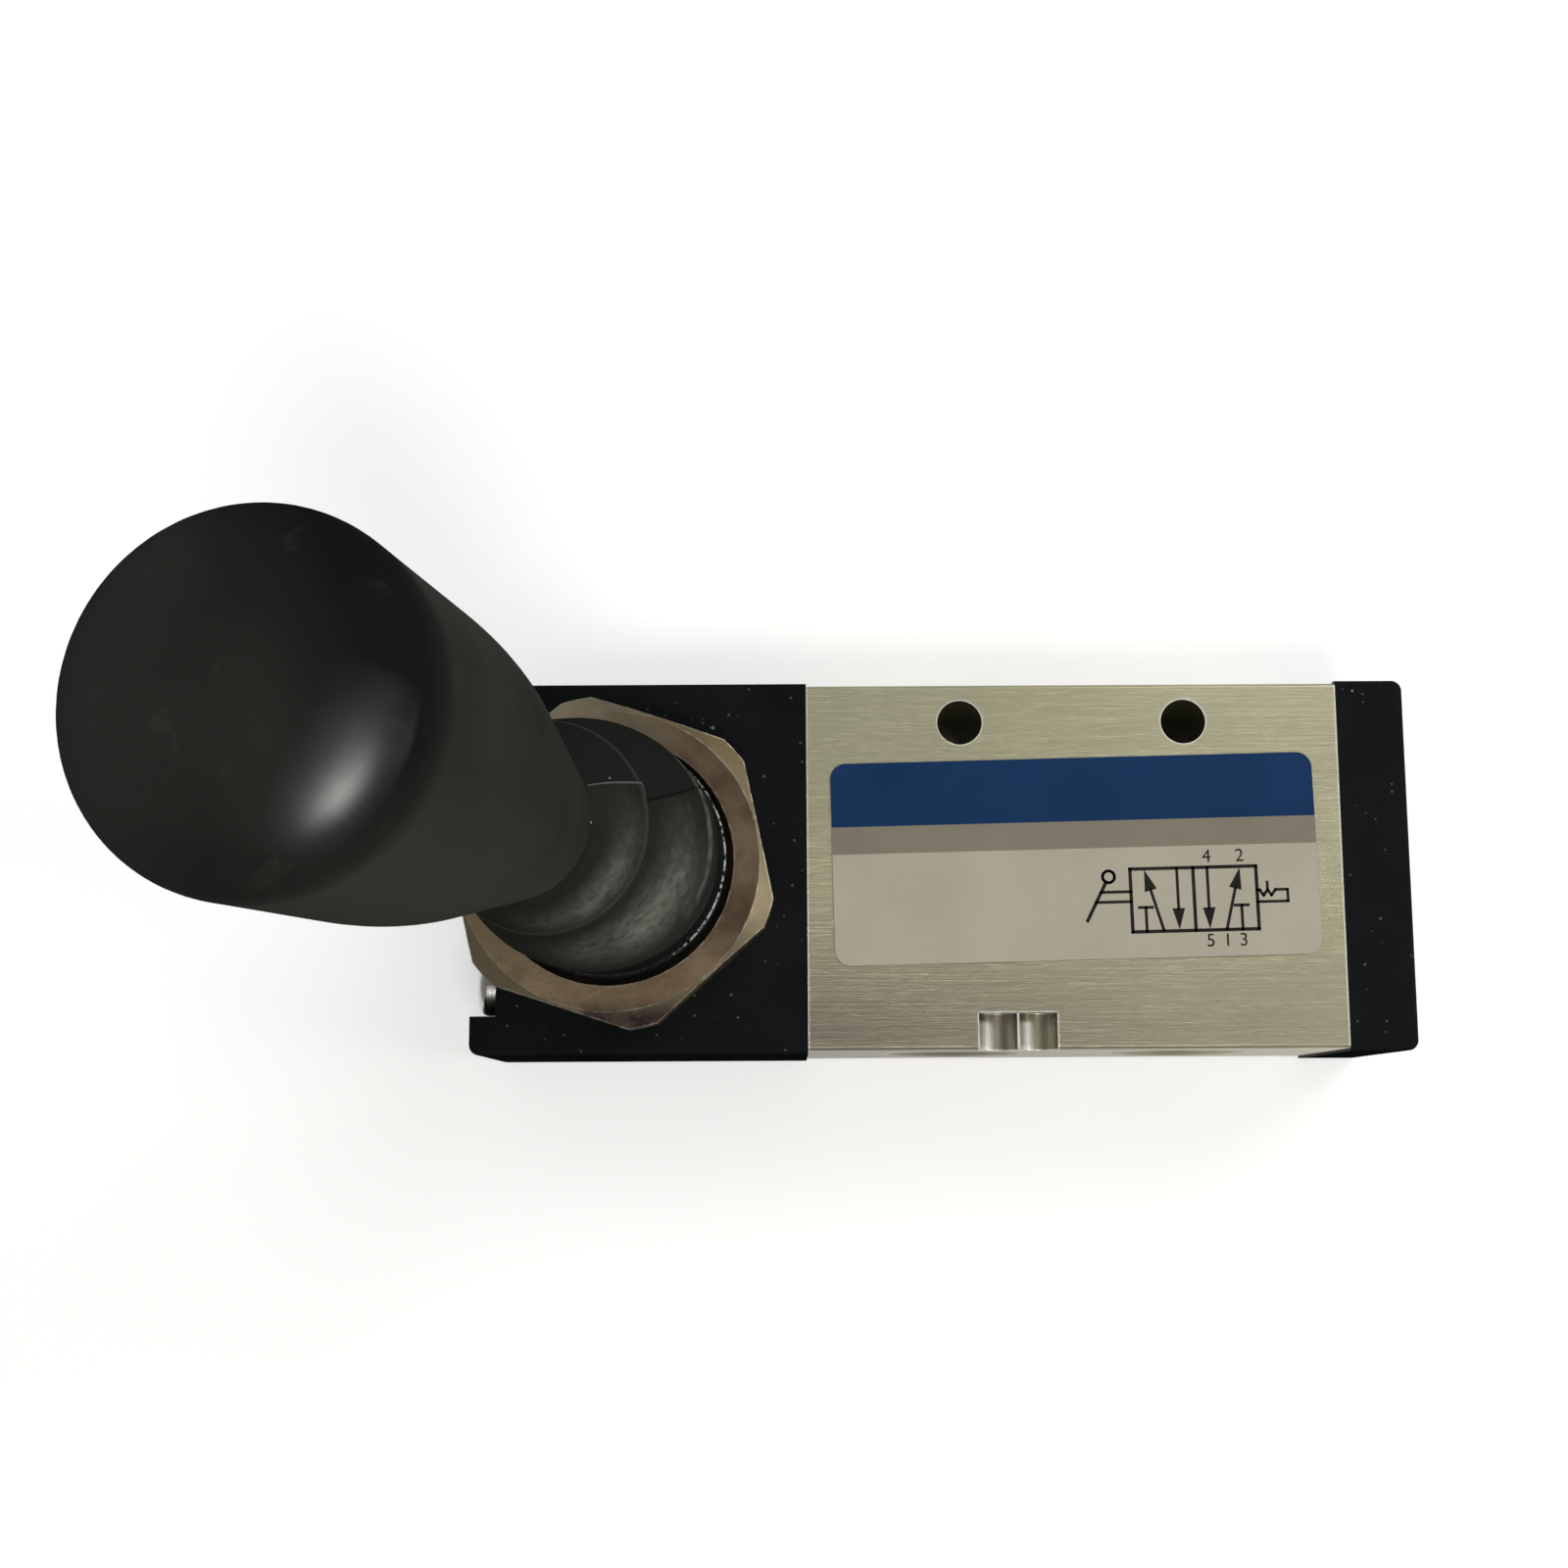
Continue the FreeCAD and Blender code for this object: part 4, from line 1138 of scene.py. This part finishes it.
symbol = {
    "boxLeft": 5.17,
    "boxTop": -1.20,
    "square": 5.99,
    "portSteps": (1.35, 2.95, 4.45),  # from the left of each square
    "arrowInset": 0.1,
    "arrowLength": 2.05,
    "arrowHalf": 0.60,
    "blockedUp": 2.30,
    "blockedHalf": 0.62,
    "leverFoot": (0.95, -6.0),
    "leverEye": (3.11, -1.88),
    "eyeRadius": 0.56,
    "eyeSides": 24,
    "linkHeights": (-3.35, -4.30),
    "catch": [
        (17.16, -3.50), (17.40, -3.50), (17.75, -4.02), (18.15, -3.50), (18.50, -4.02), (18.90, -3.50),
        (20.05, -3.50), (20.05, -4.62), (17.16, -4.62),
    ],
    "pointer": [(18.15, -2.78), (18.15, -3.40)],
    # plain port numbers: text, X, Y of their middle
    "numbers": [
        ("4", 12.52, -0.18), ("2", 15.65, -0.18),
        ("5", 12.52, -8.22), ("1", 14.12, -8.22), ("3", 15.65, -8.22),
    ],
}


def wayOf(start, end):
    # Direction from one point of the label to another, 1 long.
    return Vector((end[0] - start[0], end[1] - start[1])).normalized()


def addStroke(bm, points, share=1.0, closed=False):
    # Line along the points, with square ends; share is its part of the label's line width.
    ends = points[1:] + points[:1] if closed else points[1:]
    for start, end in zip(points, ends):
        direction = wayOf(start, end) * label["lineWidth"] * share / 2
        aside = Vector((-direction.y, direction.x))
        first = Vector(start) - direction
        last = Vector(end) + direction
        printFace(bm, [first - aside, last - aside, last + aside, first + aside], label["inkLift"])


def addArrow(bm, start, end):
    # Line from start to a filled head that ends at end.
    direction = wayOf(start, end)
    base = Vector(end) - direction * symbol["arrowLength"]
    aside = Vector((-direction.y, direction.x)) * symbol["arrowHalf"]
    addStroke(bm, [start, tuple(base)], label["middleLine"])
    printFace(bm, [base - aside, Vector(end), base + aside], label["inkLift"])


def addNumber(bm, text, x, y):
    # Plain digit from Blender's own font, laid on the label.
    curve = bpy.data.curves.new("number", "FONT")
    curve.body = text
    curve.size = label["numberSize"]
    curve.align_x = "CENTER"
    curve.align_y = "CENTER"
    digit = finalMesh(linked("number", curve))
    places = [bm.verts.new(labelSpot(x + v.co.x, y + v.co.y, label["inkLift"])) for v in digit.vertices]
    for polygon in digit.polygons:
        bm.faces.new([places[i] for i in polygon.vertices])
    bpy.data.meshes.remove(digit)


def addSquare(bm, corner, top, crossing):
    # Flow paths in one square of the symbol: two arrows, straight or crossing, and one blocked port.
    bottom = top - symbol["square"]
    high, low = top - symbol["arrowInset"], bottom + symbol["arrowInset"]
    first, middle, last = [corner + step for step in symbol["portSteps"]]
    if crossing:
        addArrow(bm, (first, high), (first, low))
        addArrow(bm, (middle, low), (last, high))
        blocked = last
    else:
        addArrow(bm, (middle, low), (first, high))
        addArrow(bm, (last, high), (last, low))
        blocked = first
    tee = bottom + symbol["blockedUp"]
    half = symbol["blockedHalf"]
    addStroke(bm, [(blocked, bottom), (blocked, tee)], label["middleLine"])
    addStroke(bm, [(blocked - half, tee), (blocked + half, tee)], label["middleLine"])


def addHandLever(bm, left):
    # Lever with its eye, and the two links to the first square.
    eye = Vector(symbol["leverEye"])
    foot = Vector(symbol["leverFoot"])
    radius = symbol["eyeRadius"]
    turns = [2 * math.pi * k / symbol["eyeSides"] for k in range(symbol["eyeSides"])]
    ring = [(eye.x + radius * math.cos(t), eye.y + radius * math.sin(t)) for t in turns]
    addStroke(bm, ring, label["fineLine"], closed=True)
    start = eye + (foot - eye).normalized() * radius
    addStroke(bm, [tuple(start), tuple(foot)])
    for height in symbol["linkHeights"]:
        share = (height - start.y) / (foot.y - start.y)
        addStroke(bm, [(start.x + (foot.x - start.x) * share, height), (left, height)], label["middleLine"])


def makeLabelInk():
    # Valve symbol: hand lever, two squares with their flow paths, and the catch.
    left, top, square = symbol["boxLeft"], symbol["boxTop"], symbol["square"]
    middle, right, bottom = left + square, left + 2 * square, top - square
    bm = bmesh.new()
    addStroke(bm, [(left, top), (right, top), (right, bottom), (left, bottom)], closed=True)
    addStroke(bm, [(middle, top), (middle, bottom)])
    addSquare(bm, left, top, False)
    addSquare(bm, middle, top, True)
    addHandLever(bm, left)
    addStroke(bm, symbol["catch"], label["fineLine"])
    addStroke(bm, symbol["pointer"], label["fineLine"])
    for text, x, y in symbol["numbers"]:
        addNumber(bm, text, x, y)
    newPiece("labelInk", printedMesh(bm, "labelInk"), "valve", plainMaterial("labelInk"))


makeLabelFace()
makeLabelInk()
print("label printed")

# Floor and sky


def makeFloor():
    half = studio["floorHalf"]
    level = cadBox[0][2] - studio["floorDrop"]
    corners = [(-half, -half, level), (half, -half, level), (half, half, level), (-half, half, level)]
    mesh = bpy.data.meshes.new("floor")
    mesh.from_pydata(corners, [], [(0, 1, 2, 3)])
    floor = linked("floor", mesh)
    material, tree, surface = newMaterial("floorPaper", Roughness=0.9, SpecularIORLevel=0.1)
    texture = placed(tree, grain, Grain=1500.0, Blotch=6.0)
    shade = tuple(studio["floorShade"] * c for c in studio["floorColour"])
    feed(mixedColour(texture["Tone"], shade, studio["floorColour"]), surface["Base Color"])
    # the paper glows for the camera, for metal and for glass, but not under the valve
    rays = addNode(tree, "ShaderNodeLightPath").outputs
    mirrored = maths("MAXIMUM", rays["Is Glossy Ray"], rays["Is Transmission Ray"])
    seen = maths("MAXIMUM", rays["Is Camera Ray"], mirrored)
    spot = split(objectPlace(tree))
    beside = []
    for axis, low, high in zip("XY", *studio["underValve"]):
        reach = maths("ABSOLUTE", maths("SUBTRACT", spot[axis], (low + high) / 2))
        edge = (high - low) / 2
        beside.append(rangeOf(reach, edge - studio["underFade"], edge))
    glow = product(maths("MAXIMUM", *beside), studio["floorGlow"])
    feed(product(seen, glow), surface["Emission Strength"])
    feed((1.0, 1.0, 1.0), surface["Emission Color"])
    mesh.materials.append(material)
    floor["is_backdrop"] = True


def makeSky():
    # Soft sky: pale at the horizon, quieter overhead.
    world = bpy.data.worlds.new("studioSky")
    world.use_nodes = True
    tree = world.node_tree
    direction = split(addNode(tree, "ShaderNodeTexCoord").outputs["Generated"])
    upward = rangeOf(direction["Z"], *studio["skyRise"])
    colour = mixedColour(upward, studio["skyLow"], studio["skyHigh"])
    feed(colour, tree.nodes["Background"].inputs[0])
    bpy.context.scene.world = world


makeFloor()
makeSky()
bpy.context.scene.view_settings.view_transform = "Standard"
print("floor and sky made")

boxes = {"cad": cadBox, "visual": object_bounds()}
{key: [list(map(float, corner)) for corner in pair] for key, pair in boxes.items()}
